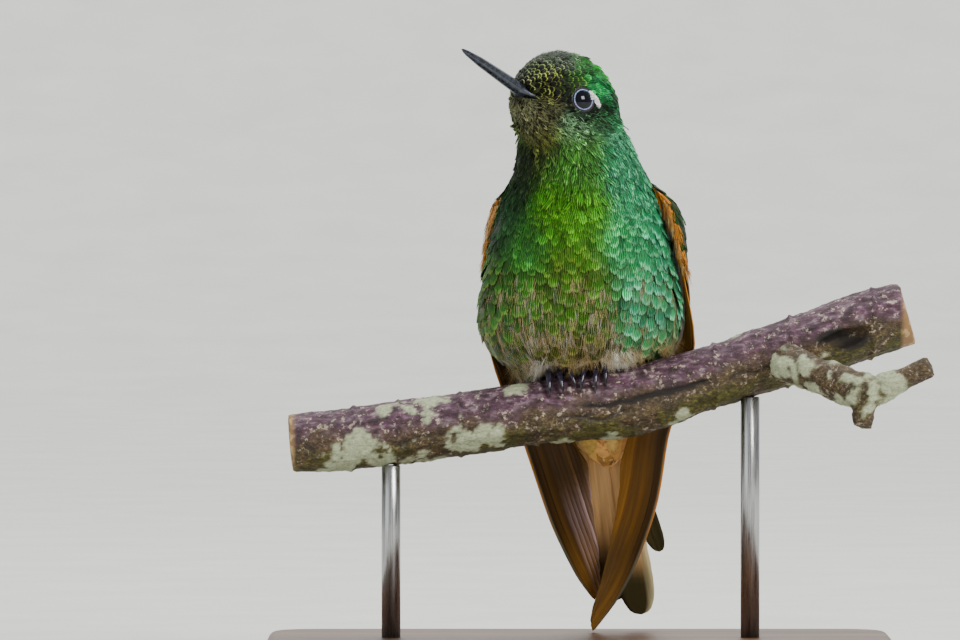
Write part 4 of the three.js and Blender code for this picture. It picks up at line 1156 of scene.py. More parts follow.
def feather_vane(name, barb, sheen, roughness, metallic):
    """Contour feather of structural colour. Its barbs are loose at their ends and lie almost along
    the shaft, a tenth of a millimetre apart, drawn here as coarse as it takes to show. Their
    barbules are flat plates that throw the light back almost like metal; the glint along each barb
    and the dark between them are painted into the colour as painted highlight and painted shade."""
    material, tree, body = blank(name)
    hue = add(tree, "Attribute", attribute_name="Hue")
    margin = add(tree, "Attribute", attribute_name="Margin")
    rim = add(tree, "Attribute", attribute_name="Rim")
    vane = add(tree, "UVMap", uv_map="Vane")
    place = add(tree, "SeparateXYZ", {0: vane})
    waver = add(tree, "TexNoise", {"Vector": body, "Scale": 0.8 * PER_METRE, "Detail": 2.0})
    slant = add(tree, "Math", {0: waver, 1: 0.4, 2: place.outputs["X"]}, operation="MULTIPLY_ADD")
    turns = add(tree, "Math", {0: slant, 1: 2 * math.pi / barb}, operation="MULTIPLY")
    wave = add(tree, "Math", {0: turns}, operation="SINE")
    patchy = add(tree, "TexNoise", {"Vector": body, "Scale": 0.9 * PER_METRE,
                                    "Detail": 3.0, "Roughness": 0.6})
    edge = add(tree, "Math", {0: patchy, 1: 0.5, 2: rim.outputs["Fac"]}, operation="MULTIPLY_ADD")
    edged = add(tree, "MapRange", {0: edge, 1: 0.92, 2: 1.14})
    held = add(tree, "Math", {0: edged, 1: margin.outputs["Alpha"]}, operation="MULTIPLY")
    base = laid_over(tree, hue, (held, margin))
    # Painted highlight along each barb and painted shade between them, from the wave that also
    # raises the barbs.
    barb_glint_and_shade = add(tree, "MapRange", {0: wave, 1: -1.0, 2: 1.0, 3: 0.3, 4: 1.4})
    mottle = add(tree, "MapRange", {0: patchy, 1: 0.3, 2: 0.7, 3: 0.7, 4: 1.25})
    value = add(tree, "Math", {0: barb_glint_and_shade, 1: mottle}, operation="MULTIPLY")
    shown = add(tree, "HueSaturation", {"Color": base, "Value": value})
    bump = add(tree, "Bump", {"Height": wave, "Strength": 0.5, "Distance": 0.05 * MM})
    shine = add(tree, "MapRange", {0: held, 3: metallic, 4: metallic * 0.3})
    return closed(material, {
        "Base Color": shown, "Metallic": shine, "Roughness": roughness, "IOR": 1.4,
        "Specular IOR Level": DULL, "Normal": bump, "Sheen Weight": sheen, "Sheen Roughness": 0.4,
    })


def flight_vane():
    """Flight feather: barbs hooked into one smooth sheet, brown, with a satin shine. Wear and the
    way the barbs part give it soft streaks along its length. The barbs themselves, a fifth of a
    millimetre apart, are drawn a little coarser, so that they only just show as slanting lines."""
    material, tree, _ = blank("satin_flight_vane")
    hue = add(tree, "Attribute", attribute_name="Hue")
    vane = add(tree, "UVMap", uv_map="Vane")
    long = add(tree, "Mapping", {"Vector": vane, "Scale": (1.5, 0.05, 1.0)})
    streaks = add(tree, "TexNoise", {"Vector": long, "Scale": 1.0, "Detail": 4.0, "Roughness": 0.6})
    place = add(tree, "SeparateXYZ", {0: vane})
    slant = add(tree, "Math", {0: place.outputs["X"], 1: 1.6, 2: place.outputs["Y"]},
                operation="MULTIPLY_ADD")
    turns = add(tree, "Math", {0: slant, 1: 2 * math.pi / 0.3}, operation="MULTIPLY")
    wave = add(tree, "Math", {0: turns}, operation="SINE")
    fine = add(tree, "MapRange", {0: wave, 1: -1.0, 2: 1.0, 3: 0.93, 4: 1.05})
    soft = add(tree, "MapRange", {0: streaks, 1: 0.3, 2: 0.7, 3: 0.7, 4: 1.3})
    value = add(tree, "Math", {0: fine, 1: soft}, operation="MULTIPLY")
    shown = add(tree, "HueSaturation", {"Color": hue, "Value": value})
    bump = add(tree, "Bump", {"Height": wave, "Strength": 0.25, "Distance": 0.03 * MM})
    return closed(material, {
        "Base Color": shown, "Roughness": 0.42, "IOR": 1.4, "Specular IOR Level": DULL,
        "Normal": bump,
    })


def loose_barbs(name, roughness, metallic):
    """Loose barbs: keratin threads without hooks. The downy ones scatter the light softly and have
    no shine of their own; green ones keep the hard glint of their colour."""
    material, tree, body = blank(name)
    hue = add(tree, "Attribute", attribute_name="Hue")
    patchy = add(tree, "TexNoise", {"Vector": body, "Scale": 1.2 * PER_METRE, "Detail": 2.0})
    value = add(tree, "MapRange", {0: patchy, 1: 0.3, 2: 0.7, 3: 0.8, 4: 1.2})
    shown = add(tree, "HueSaturation", {"Color": hue, "Value": value})
    return closed(material, {
        "Base Color": shown, "Roughness": roughness, "IOR": 1.5, "Specular IOR Level": DULL,
        "Metallic": metallic, "Sheen Weight": 0.05, "Sheen Roughness": 0.5,
    })


def bare_skin():
    """Skin under the coat, dark with the bases of the feathers and with painted shade of the coat
    over it, in the coat's own markings.
    """
    material, tree, body = blank("feathered_skin")
    hue = add(tree, "Attribute", attribute_name="Hue")
    pores = add(tree, "TexNoise", {"Vector": body, "Scale": 1.6 * PER_METRE, "Detail": 3.0})
    value = add(tree, "MapRange", {0: pores, 1: 0.3, 2: 0.7, 3: 0.6, 4: 1.2})
    shown = add(tree, "HueSaturation", {"Color": hue, "Value": value})
    bump = add(tree, "Bump", {"Height": pores, "Strength": 0.5, "Distance": 0.12 * MM})
    return closed(material, {
        "Base Color": shown, "Roughness": 0.8, "Specular IOR Level": DULL, "Normal": bump,
    })


def claw_horn():
    """Claw horn: smooth keratin, slightly see-through, grey-purple over the quick and black at
    the point, polished by use."""
    material, tree, body = blank("polished_claw_horn")
    tip = add(tree, "Attribute", attribute_name="Tip")
    streaks = add(tree, "TexNoise", {"Vector": body, "Scale": 1.8 * PER_METRE, "Detail": 3.0})
    quick = add(tree, "ValToRGB", {"Fac": streaks}, stops=((0.3, "#0c0a12"), (0.7, "#2e283c")))
    tone = laid_over(tree, quick, (tip.outputs["Fac"], linear("#0c0908")))
    return closed(material, {
        "Base Color": tone, "Roughness": 0.16, "IOR": 1.55, "Subsurface Weight": 0.15,
        "Subsurface Scale": 0.3 * MM,
    })


def weathered_bark():
    """Bark of a thin branch: smooth young cork, purple-brown where the light falls, olive with
    algae below, with crusts of pale lichen. Its cracks and the knot's hole are painted near black
    as painted shade. It is dry and dull. The sawn ends show year rings, drawn a little wider than
    the real third of a millimetre."""
    material, tree, body = blank("weathered_bark")
    names = ("Lichen", "Moss", "CrackShade", "Purple", "Cut", "Ring")
    lichen, moss, crack, purple, cut, ring = (
        add(tree, "Attribute", attribute_name=n).outputs["Fac"] for n in names)
    coarse = add(tree, "TexNoise", {"Vector": body, "Scale": 0.4 * PER_METRE,
                                    "Detail": 5.0, "Roughness": 0.6})
    along = add(tree, "Mapping", {"Vector": body, "Scale": (0.6, 1.0, 1.0)})
    fine = add(tree, "TexNoise", {"Vector": along, "Scale": 2.4 * PER_METRE,
                                  "Detail": 7.0, "Roughness": 0.72})
    cork, green, crust = (add(tree, "ValToRGB", {"Fac": fine}, stops=stops) for stops in (
        ((0.32, "#1a1008"), (0.5, "#44341e"), (0.7, "#7a6844")),
        ((0.34, "#141402"), (0.55, "#4a4610"), (0.75, "#8c8438")),
        ((0.3, "#747a5c"), (0.6, "#b4bc98"), (0.8, "#dde0cc"))))
    long = add(tree, "Mapping", {"Vector": body, "Scale": (0.5, 1.0, 1.0)})
    smooth = add(tree, "TexNoise", {"Vector": long, "Scale": 1.1 * PER_METRE, "Detail": 5.0,
                                    "Roughness": 0.6})
    flushed = add(tree, "ValToRGB", {"Fac": smooth},
                  stops=((0.34, "#26151a"), (0.53, "#553646"), (0.76, "#96828c")))
    flecks = add(tree, "TexNoise", {"Vector": body, "Scale": 0.9 * PER_METRE, "Detail": 4.0,
                                    "Roughness": 0.75})
    flecked = add(tree, "MapRange", {0: flecks, 1: 0.57, 2: 0.64, 4: 0.8})
    stained = laid_over(tree, cork, (purple, flushed), (flecked, linear("#bcae98")), (moss, green))
    blotch = add(tree, "MapRange", {0: coarse, 1: 0.35, 2: 0.65, 3: 0.6, 4: 1.3})
    toned = add(tree, "HueSaturation", {"Color": stained, "Value": blotch})
    waved = add(tree, "Math", {0: coarse, 1: 1.5, 2: ring}, operation="MULTIPLY_ADD")
    turns = add(tree, "Math", {0: waved, 1: 2 * math.pi / 0.6}, operation="MULTIPLY")
    rings = add(tree, "Math", {0: turns}, operation="SINE")
    sawn = add(tree, "ValToRGB", {"Fac": rings}, stops=((0.1, "#8a6a42"), (0.7, "#b89866")))
    # Near black over the cracks and the knot's hole: painted shade.
    shown = laid_over(tree, toned, (lichen, crust), (crack, linear("#140c06")), (cut, sawn))
    bump = add(tree, "Bump", {"Height": fine, "Strength": 0.7, "Distance": 0.35 * MM})
    return closed(material, {"Base Color": shown, "Roughness": 0.72, "Normal": bump})


def oiled_walnut():
    """Walnut board, sanded and oiled: brown with dark grain lines along it, a soft low shine, and
    pores that stay open as short fine grooves."""
    material, tree, body = blank("oiled_walnut")
    along = add(tree, "Mapping", {"Vector": body, "Scale": (0.08, 1.0, 1.0)})
    figure = add(tree, "TexNoise", {"Vector": along, "Scale": 0.16 * PER_METRE,
                                    "Detail": 4.0, "Distortion": 1.2})
    pores = add(tree, "TexNoise", {"Vector": along, "Scale": 1.9 * PER_METRE,
                                   "Detail": 4.0, "Roughness": 0.7})
    tone = add(tree, "ValToRGB", {"Fac": figure},
               stops=((0.3, "#2f1c10"), (0.5, "#55351f"), (0.68, "#7a5232")))
    dark = add(tree, "MapRange", {0: pores, 1: 0.36, 2: 0.5, 3: 0.55, 4: 1.0})
    shown = add(tree, "HueSaturation", {"Color": tone, "Value": dark})
    bump = add(tree, "Bump", {"Height": pores, "Strength": 0.3, "Distance": 0.08 * MM})
    return closed(material, {"Base Color": shown, "Roughness": 0.4, "Normal": bump})


def bare_lid(name, low, high):
    """Bare skin of the eyelid: fine beads in rows, a little moist, soft in its shine."""
    return patterned(
        name, "TexVoronoi", {"Scale": 4.0 * PER_METRE}, ((0.1, high), (0.7, low)),
        {"Roughness": 0.45, "IOR": 1.4, "Subsurface Weight": 0.1, "Subsurface Scale": 0.2 * MM},
        bump=(-0.4, 0.05),
    )


CONTOUR_VANE = feather_vane("structural_green_vane", 0.32, 0.02, 0.45, 0.3)
FLIGHT_VANE = flight_vane()
DOWN = loose_barbs("soft_down_barbs", 0.75, 0.0)
GREEN_BARBS = loose_barbs("glinting_green_barbs", 0.42, 0.3)
SKIN = bare_skin()
# A living eye: a wet, clear cornea over an iris so dark a brown that it looks black. The wet film
# is as smooth as glass, so it mirrors the lights as small sharp spots.
EYE_GLOSS = patterned(
    "wet_dark_eye", "TexNoise", {"Scale": 2.2 * PER_METRE, "Detail": 2.0},
    ((0.35, "#010207"), (0.75, "#04081a")), {"Roughness": 0.04, "IOR": 1.376},
)
PALE_LID = bare_lid("pale_eyelid_rim", "#5c6a8c", "#a4b0d4")
DARK_LID = bare_lid("dark_eyelid_skin", "#060507", "#17131a")
# Horn of the bill, worn smooth: black keratin with a soft gloss. Its growth marks are finer than
# the eye sees, and are drawn as a cloudy grain just wide enough to break up the shine; the grain's
# lighter blue-grey is painted reflection of the pale sky on the horn.
BILL_HORN = patterned(
    "worn_black_horn", "TexNoise",
    {"Scale": 1.4 * PER_METRE, "Detail": 4.0, "Distortion": 0.4},
    ((0.35, "#0a0c10"), (0.7, "#2c3444")), {"IOR": 1.55}, bump=(0.25, 0.04), rough=(0.2, 0.34),
    place={"Rotation": (0, HEAD_PITCH, math.pi / 2 - HEAD_TURN)},
)
# Scaled skin of the toes: small horny plates a third of a millimetre long, dark brown-orange, dull
# in the grooves and slightly glossy on the plates.
TOE_SKIN = patterned(
    "scaled_toe_skin", "TexVoronoi", {"Scale": 2.6 * PER_METRE},
    ((0.02, "#160d06"), (0.3, "#5a3418")), {"Roughness": 0.5, "IOR": 1.5}, bump=(0.6, 0.08),
    feature="DISTANCE_TO_EDGE",
)
CLAW = claw_horn()
BARK = weathered_bark()
WALNUT = oiled_walnut()
# Stainless steel rod, drawn and rubbed with fine cloth along its length: bright, with faint long
# scratches that stretch its highlights.
STEEL = patterned(
    "drawn_steel", "TexNoise", {"Scale": 6.0 * PER_METRE, "Detail": 3.0},
    ((0.3, "#8f9091"), (0.7, "#bdbdbc")), {"Metallic": 1.0}, rough=(0.22, 0.38),
    place={"Scale": (1.0, 1.0, 0.03)},
)
# Matt studio paper, with a faint cloudiness far coarser than its fibres.
PAPER = patterned(
    "pale_studio_paper", "TexNoise", {"Scale": 40.0, "Detail": 3.0},
    ((0.3, "#dededa"), (0.7, "#e6e6e2")), {"Roughness": 0.9},
)


def dress(piece, material):
    piece.data.materials.clear()
    piece.data.materials.append(material)
    return piece


# ---- Body and coat -----------------------------------------------
# Heights at which one region of the coat gives way to the next.
NAPE_FROM, FACE_FROM, HEAD_FROM, NECK_FROM, BREAST_FROM, VENT_TO = 44, 43, 41, 33, 24.5, 2.0
SHORTEST = 0.28  # of the feathers at the eye's ring
SCALE_VANE = vane_template(6, 4)
SOFT_VANE = vane_template(10, 5)
QUILL = vane_template(10, 30)
TUFT = plume_template(6, 5)
WISP = plume_template(5, 3)


def off_eye(points, side):
    """How far points lie from the axis of that side's eye, and whether they are in front of it."""
    centre, looks = eye_frame(side)
    apart = points - centre
    ahead = apart @ looks
    return np.linalg.norm(apart - ahead[:, None] * looks, axis=1), ahead > 0


def beside_gape(points):
    """1 in the strip along each side of the bill where the face is pressed in."""
    forward, _, up = head_place(points).T
    level = mouth_level(forward) - 0.1
    half = np.interp(forward, [GAPE - 0.4, GAPE + 0.6, 13.5], [0.15, 0.5, 1.0])
    near = 1 - smoothstep(np.abs(up - level) / half, 0.9, 1.5)
    return near * smoothstep(forward, GAPE - 0.5, GAPE + 0.2)


def press_gape(mesh):
    """Presses the face in along both sides of the bill, so that the gape shows."""
    points = points_of(mesh)
    place = head_place(points)
    left = np.abs(place[:, 1])
    place[:, 1] = np.sign(place[:, 1]) * mix(left, np.minimum(left, 0.45), beside_gape(points))
    move_points(mesh, in_head(*place.T))


def seat_eyes(mesh):
    """Draws the skin over each eyeball as its lids, up to the ring round the eye."""
    points = points_of(mesh)
    for side in SIDES:
        centre, looks = eye_frame(side)
        apart = points - centre
        ahead = apart @ looks
        off = apart - ahead[:, None] * looks
        away = np.linalg.norm(off, axis=1)
        past = away - EYELID["ring"]
        lid = math.sqrt(EYELID["cover"] ** 2 - EYELID["ring"] ** 2) - 0.4 * past - 0.12 * past ** 2
        near = (away < EYELID["reach"]) & (ahead > -1.5)
        depth = np.where(near, np.where(past < -0.1, 0.9, np.maximum(ahead, lid)), ahead)
        points = centre + off + depth[:, None] * looks
    move_points(mesh, points)


def to_wing_front(points, side):
    """How far points lie from the upper part of that wing's leading edge."""
    edge = smooth_path(LEADING_EDGE[side])[:72:4]
    return np.min(np.linalg.norm(points[:, None] - edge[None], axis=2), axis=1)


SKINNED = ("head", "neck", "trunk", "leg_left", "leg_right")
body = fused((*SKINNED, "eye_left", "eye_right"), SKIN_VOXEL, 0.2, 8, 0.2 + COAT_DEPTH)
press_gape(body)
seat_eyes(body)
unwrap(body)
body_ground = Ground(body)
hue, margin, share = plumage(body_ground.points)
# The skin takes the coat's colours at about a third: partly the dark bases of the feathers, partly
# painted shade of the coat lying over it.
under_in_shade = mix(hue, margin, 0.3 * share[:, None]) * 0.35
dark = np.maximum.reduce(
    [beside_gape(body_ground.points)]
    + [(off_eye(body_ground.points, side)[0] < EYELID["dark"]) * 1.0 for side in SIDES])
paint(body, "Hue", under_in_shade * (1 - 0.8 * dark[:, None]))
dress(keep("feathered_body", body, SKINNED), SKIN)


def middle_of(points):
    """Where the body's middle lies between breast and back, at the height of each point."""
    return np.interp(points[:, 2], BODY_PATH[:, 0], (BODY_PATH[:, 3] + BODY_PATH[:, 4]) / 2)


def in_either_spot(points):
    return np.max([in_spot(points, sign) for sign in SIDES.values()], axis=0)


def spacing_at(points):
    """How far apart the feathers grow: closest on the face, widest on the belly."""
    from_bill = np.linalg.norm(points - BILL_ROOT, axis=1)
    on_face = np.interp(from_bill, [3, 9, 14, 19], [0.58, 0.74, 0.84, 0.95])
    below = np.interp(points[:, 2], [-6, 4, 14, 24, 28, 34, 40],
                      [2.0, 1.8, 1.75, 1.5, 1.15, 0.92, 0.85])
    spacing = mix(below, on_face, smoothstep(points[:, 2], 38, 43))
    forward, _, up = head_place(points).T
    spacing = spacing + 0.3 * smoothstep(3.5 - forward, 0, 2) * smoothstep(up, 0.5, 2.5)
    bare = beside_gape(points) > 0.55
    bare |= in_either_spot(points) > 0.6
    for side in SIDES:
        apart, ahead = off_eye(points, side)
        small = ahead & (apart < EYELID["small"])
        spacing = np.where(small, np.minimum(spacing, 0.5), spacing)
        bare |= ahead & (apart < EYELID["bare"] + 0.1)
    return np.where(bare, 0, spacing)


roots = body_ground.rows(spacing_at, 7.0, lambda p: np.linalg.norm(p - BILL_ROOT, axis=1))
spacing = spacing_at(roots[0])
height = roots[0][:, 2]
behind = (roots[0][:, 1] > middle_of(roots[0])) & (height < NAPE_FROM)
white = in_either_spot(roots[0])
from_bill = np.linalg.norm(roots[0] - BILL_ROOT, axis=1)
flank = smoothstep(np.abs(roots[0][:, 0]), 9, 14) * smoothstep(height, 6, 12) * (height < 30)
# The lowest feathers of the chin stand off the throat.
bearded = np.exp(-((height - 44.6) / 1.4) ** 2) * smoothstep(-roots[0][:, 0], 7.5, 9.5)
wing_near = np.exp(-(np.minimum(*(to_wing_front(roots[0], s) for s in SIDES)) / 2.6) ** 2)
hue, margin, share = plumage(roots[0])
patchy = noise_at(roots[0], 2.6, 3)[:, None] * np.where(height > 42, 1.5, 0.6)[:, None]
tone = np.exp(rng.normal(-0.05, np.where(height > 42, 0.5, 0.24)[:, None]) + patchy)
tone = np.clip(tone, 0.3, 2.4) * (1 + rng.normal(0, 0.06, hue.shape))
hue = mix(hue * tone, np.array([0.8, 0.82, 0.8]), white[:, None])
margin = mix(margin * tone, np.array([0.85, 0.87, 0.85]), white[:, None])
share = share * (1 - white)
room_at_eye = np.full(len(height), 9.0)  # how long a feather grows before it covers an eye's ring
for side in SIDES:
    apart, ahead = off_eye(roots[0], side)
    centre, looks = eye_frame(side)
    to_axis = centre - roots[0]
    to_axis = unit(to_axis - looks * (to_axis @ looks)[:, None])
    towards = across(to_axis, lie(*roots[:2]))[:, 0]
    room = (apart - EYELID["bare"] - 0.05) / np.maximum(towards + 0.3, 0.1) + 0.1
    room = np.where(ahead & (apart < EYELID["cut"]), np.maximum(room, SHORTEST), room_at_eye)
    room_at_eye = np.minimum(room_at_eye, room)


def coat(name, chosen, long, wide, lift, template, **style):
    """The contour feathers of one region."""
    step = spacing[chosen]
    near = wing_near[chosen] * (height[chosen] > 16)
    raised = 0.3 * flank[chosen] + 0.2 * white[chosen] + 0.4 * bearded[chosen]
    spec = {
        "length": np.minimum(step * long, room_at_eye[chosen]) + 2.2 * near,
        "width": step * wide + 0.5 * near, "lift": lift + 0.55 * near + raised,
        "hue": hue[chosen], "margin": margin[chosen], "share": share[chosen], **style,
    }
    picked = tuple(part[chosen] for part in roots)
    return dress(feathers(name, body_ground, picked, spec, template), CONTOUR_VANE)


forward, _, up = head_place(roots[0]).T
over_bill = up > np.interp(forward, [4.0, GAPE], [-1.0, -2.2])
on_face = (height >= FACE_FROM) & (from_bill < 13)
on_head = (height >= HEAD_FROM) & ~on_face
on_neck = (height >= NECK_FROM) & ~on_face & ~on_head & ~behind
on_breast = (height >= BREAST_FROM) & (height < NECK_FROM) & ~behind
on_vent = (height < VENT_TO) & (roots[0][:, 1] > 3)
behind &= ~on_vent
on_belly = (height < BREAST_FROM) & ~behind & ~on_vent
coat("coat_face", on_face & over_bill, 2.0, 1.7, 0.22, SCALE_VANE, ragged=0.03, scaled=0.5,
     fine=1.7, blunt=4.5, curve=0.12)
coat("coat_chin", on_face & ~over_bill, 2.1, 1.0, 0.36, SCALE_VANE, ragged=0.2, turn=0.55, fine=1.3)
coat("coat_crown", on_head & over_bill, 2.4, 1.3, 0.46, SCALE_VANE, ragged=0.18, turn=0.28,
     fine=1.4)
coat("coat_cheek", on_head & ~over_bill, 2.6, 1.0, 0.3, SCALE_VANE, ragged=0.18, turn=0.3, fine=1.3)
coat("coat_neck", on_neck, 2.6, 1.25, 0.27, SCALE_VANE, ragged=0.16, turn=0.2, scaled=0.7, fine=1.3)
coat("coat_breast", on_breast, 2.6, 1.6, 0.22, SOFT_VANE, ragged=0.04, scaled=0.4, based=0.3,
     fine=1.5, blunt=4.5, curve=0.15)
coat("coat_belly", on_belly, 1.9, 1.3, 0.32, SOFT_VANE, ragged=0.03, scaled=0.6, based=0.55,
     fine=1.2, blunt=4.5, curve=0.15)
dress(coat("coat_vent", on_vent, 3.0, 1.9, 0.14, SOFT_VANE, ragged=0.05, scaled=0.2), DOWN)
coat("coat_back", behind, 2.6, 1.6, 0.3, SCALE_VANE, ragged=0.06, scaled=0.3)

# The white spots: short, dense feathers that lie along the spot.
picked = body_ground.scatter(90.0)
inside = in_either_spot(picked[0]) > 0.4
picked = tuple(part[inside] for part in picked)
snow = np.full((len(picked[0]), 3), 0.86) * rng.normal(1, 0.06, (len(picked[0]), 1))
down_spot = -FORWARD * math.cos(SPOT["slant"]) - UP * math.sin(SPOT["slant"])
down_spot = unit(down_spot - picked[1] * (picked[1] @ down_spot)[:, None])
spec = {"length": 0.5, "width": 0.2, "way": down_spot, "lift": rng.uniform(0.42, 0.5, len(snow)),
        "hue": snow, "margin": snow, "share": 0.0, "ragged": 0.05}
dress(feathers("eye_spots", body_ground, picked, spec, SCALE_VANE), DOWN)


def wisps(name, density, chance_at, spec_at, template, material, ground=body_ground):
    """Loose barbs scattered over a surface, as thick as chance_at says."""
    picked = ground.scatter(density)
    keep_these = rng.random(len(picked[0])) < chance_at(picked[0], picked[1])
    picked = tuple(part[keep_these] for part in picked)
    spec = spec_at(picked[0], picked[1])
    dress(plumes(name, ground, picked, spec, template), material)


def on_front(points):
    """1 on the breast's side of the body, 0 on its back."""
    return np.where(points[:, 1] < middle_of(points), 1.0, 0.0)


def clear_of_eyes(points):
    """0 near the eyes, 1 away from them."""
    apart = [np.where(ahead, apart, 9.0) for apart, ahead in (off_eye(points, s) for s in SIDES)]
    return smoothstep(np.min(apart, axis=0), 3.0, 3.8)


# Loose green barbs that blur the edges of the breast feathers into a fine hairy surface.
def breast_chance(points, normals):
    high = np.interp(points[:, 2], [18, 24, 30, 36, 41, 46, 48],
                     [0.0, 0.6, 1.0, 1.0, 0.9, 0.6, 0.0])
    return high * on_front(points) * clear_of_eyes(points)


def breast_wisps(points, normals):
    hue, margin, share = plumage(points)
    return {"length": np.interp(points[:, 2], [32, 44], [2.1, 1.3]), "spread": 0.5, "lift": 0.28,
            "hue": mix(hue, margin, 0.6 * share[:, None]), "thick": 0.09, "tuft": 1.2,
            "shades": (0.15, 1.7), "curl": 0.15}


def curled(towards_margin, **style):
    """Short curled barbs in the coat's colours, as what wisps() asks for."""
    def at(points, normals):
        hue, margin, _ = plumage(points)
        return {"length": 1.0, "hue": mix(hue, margin, towards_margin), "thick": 0.1, "tuft": 0.5,
                **style}
    return at


wisps("breast_barbs", 1.7, breast_chance, breast_wisps, WISP, GREEN_BARBS)


# Short curled barbs that stand off the chin and the cheeks.
def chin_chance(points, normals):
    forward, _, up = head_place(points).T
    below = smoothstep(np.interp(forward, [4.0, GAPE], [-1.0, -2.0]) - up, 0, 1.2)
    below = below * smoothstep(points[:, 2], 40.5, 43) * (beside_gape(points) < 0.2)
    return below * clear_of_eyes(points)


wisps("chin_curls", 4.0, chin_chance,
      curled(0.9, spread=0.9, lift=0.5, shades=(0.05, 1.6), curl=0.6, free=0.4),
      WISP, DOWN)


# Short barbs that roughen the outline of the crown.
def crown_chance(points, normals):
    _, _, up = head_place(points).T
    return smoothstep(up, 3.0, 5.5) * smoothstep(points[:, 2], 49, 52)


wisps("crown_barbs", 2.2, crown_chance,
      curled(0.6, spread=0.6, lift=0.4, shades=(0.1, 1.9), curl=0.4, free=0.5),
      WISP, DOWN)


def by_legs(points):
    """1 beside the legs, fading to 0 along the branch."""
    return np.maximum.reduce([np.exp(-((points[:, 0] - x) / 2.1) ** 2) for x in (-6.2, 5.8)])


# Buff and white down that shows between the feathers of the belly and thickens to the legs.
def belly_chance(points, normals):
    low = np.interp(points[:, 2], [-2, 2, 5, 12, 18, 24], [0.0, 0.8, 1.0, 0.85, 0.5, 0.0])
    low = low * np.interp(noise_at(points, 5.0, 9, 2), [-0.25, 0.1, 0.4], [0.35, 0.9, 1.3])
    return low * np.where(on_front(points) > 0, 1, 0.1)


def belly_wisps(points, normals):
    low = points[:, 2]
    pale = smoothstep(9 - low, 0, 5) * (1 - smoothstep(-low, 0.5, 4))
    grey = rng.random(len(points))[:, None] < 0.3
    hue = np.where(grey, colour("#bcb4b0"), colour("#c4ac7c"))
    hue = mix(hue, colour("#d6c8ac"), (pale * (0.25 + 0.75 * by_legs(points)))[:, None])
    hue = mix(hue, colour("#c49450"), smoothstep(-low, 0, 3)[:, None])
    return {"length": mix(3.0, 3.4, pale), "spread": mix(0.8, 1.5, pale),
            "lift": mix(0.46, 0.7, pale), "hue": hue, "thick": 0.06, "tuft": 1.4,
            "curl": 0.2, "shades": (0.35, 1.3), "free": 0.5 * pale}


wisps("belly_down", 2.3, belly_chance, belly_wisps, WISP, DOWN)


def over_branch(points):
    """How high points lie above the top of the branch."""
    height, radius = sample(BRANCH_PATH[:, 2:], BRANCH_PATH[:, 0], points[:, 0]).T
    return points[:, 2] - height - radius


# White tufts round each leg, hanging behind the claws.
def tuft_chance(points, normals):
    low = np.exp(-((over_branch(points) - 2.2) / 1.3) ** 2)
    return (0.2 + 0.8 * by_legs(points)) * low * (normals[:, 1] < 0.2)


def leg_wisps(points, normals):
    count = len(points)
    way = np.tile([0.0, 0.45, -1.0], (count, 1)) + rng.normal(0, 0.22, (count, 3))
    way[:, 0] += 0.05 * (points[:, 0] - 0.5)
    white_share = (rng.random((count, 1)) < 0.85) * by_legs(points)[:, None]
    hue = mix(colour("#a88e5c"), colour("#ece6d8"), white_share)
    return {"length": rng.uniform(1.3, 3.3, count), "spread": 1.3, "lift": 0.35, "hue": hue,
            "thick": 0.07, "tuft": 1.0, "curl": 0.4, "shades": (0.55, 1.15), "free": 0.9,
            "way": unit(way)}


wisps("leg_tufts", 4.5, tuft_chance, leg_wisps, TUFT, DOWN)

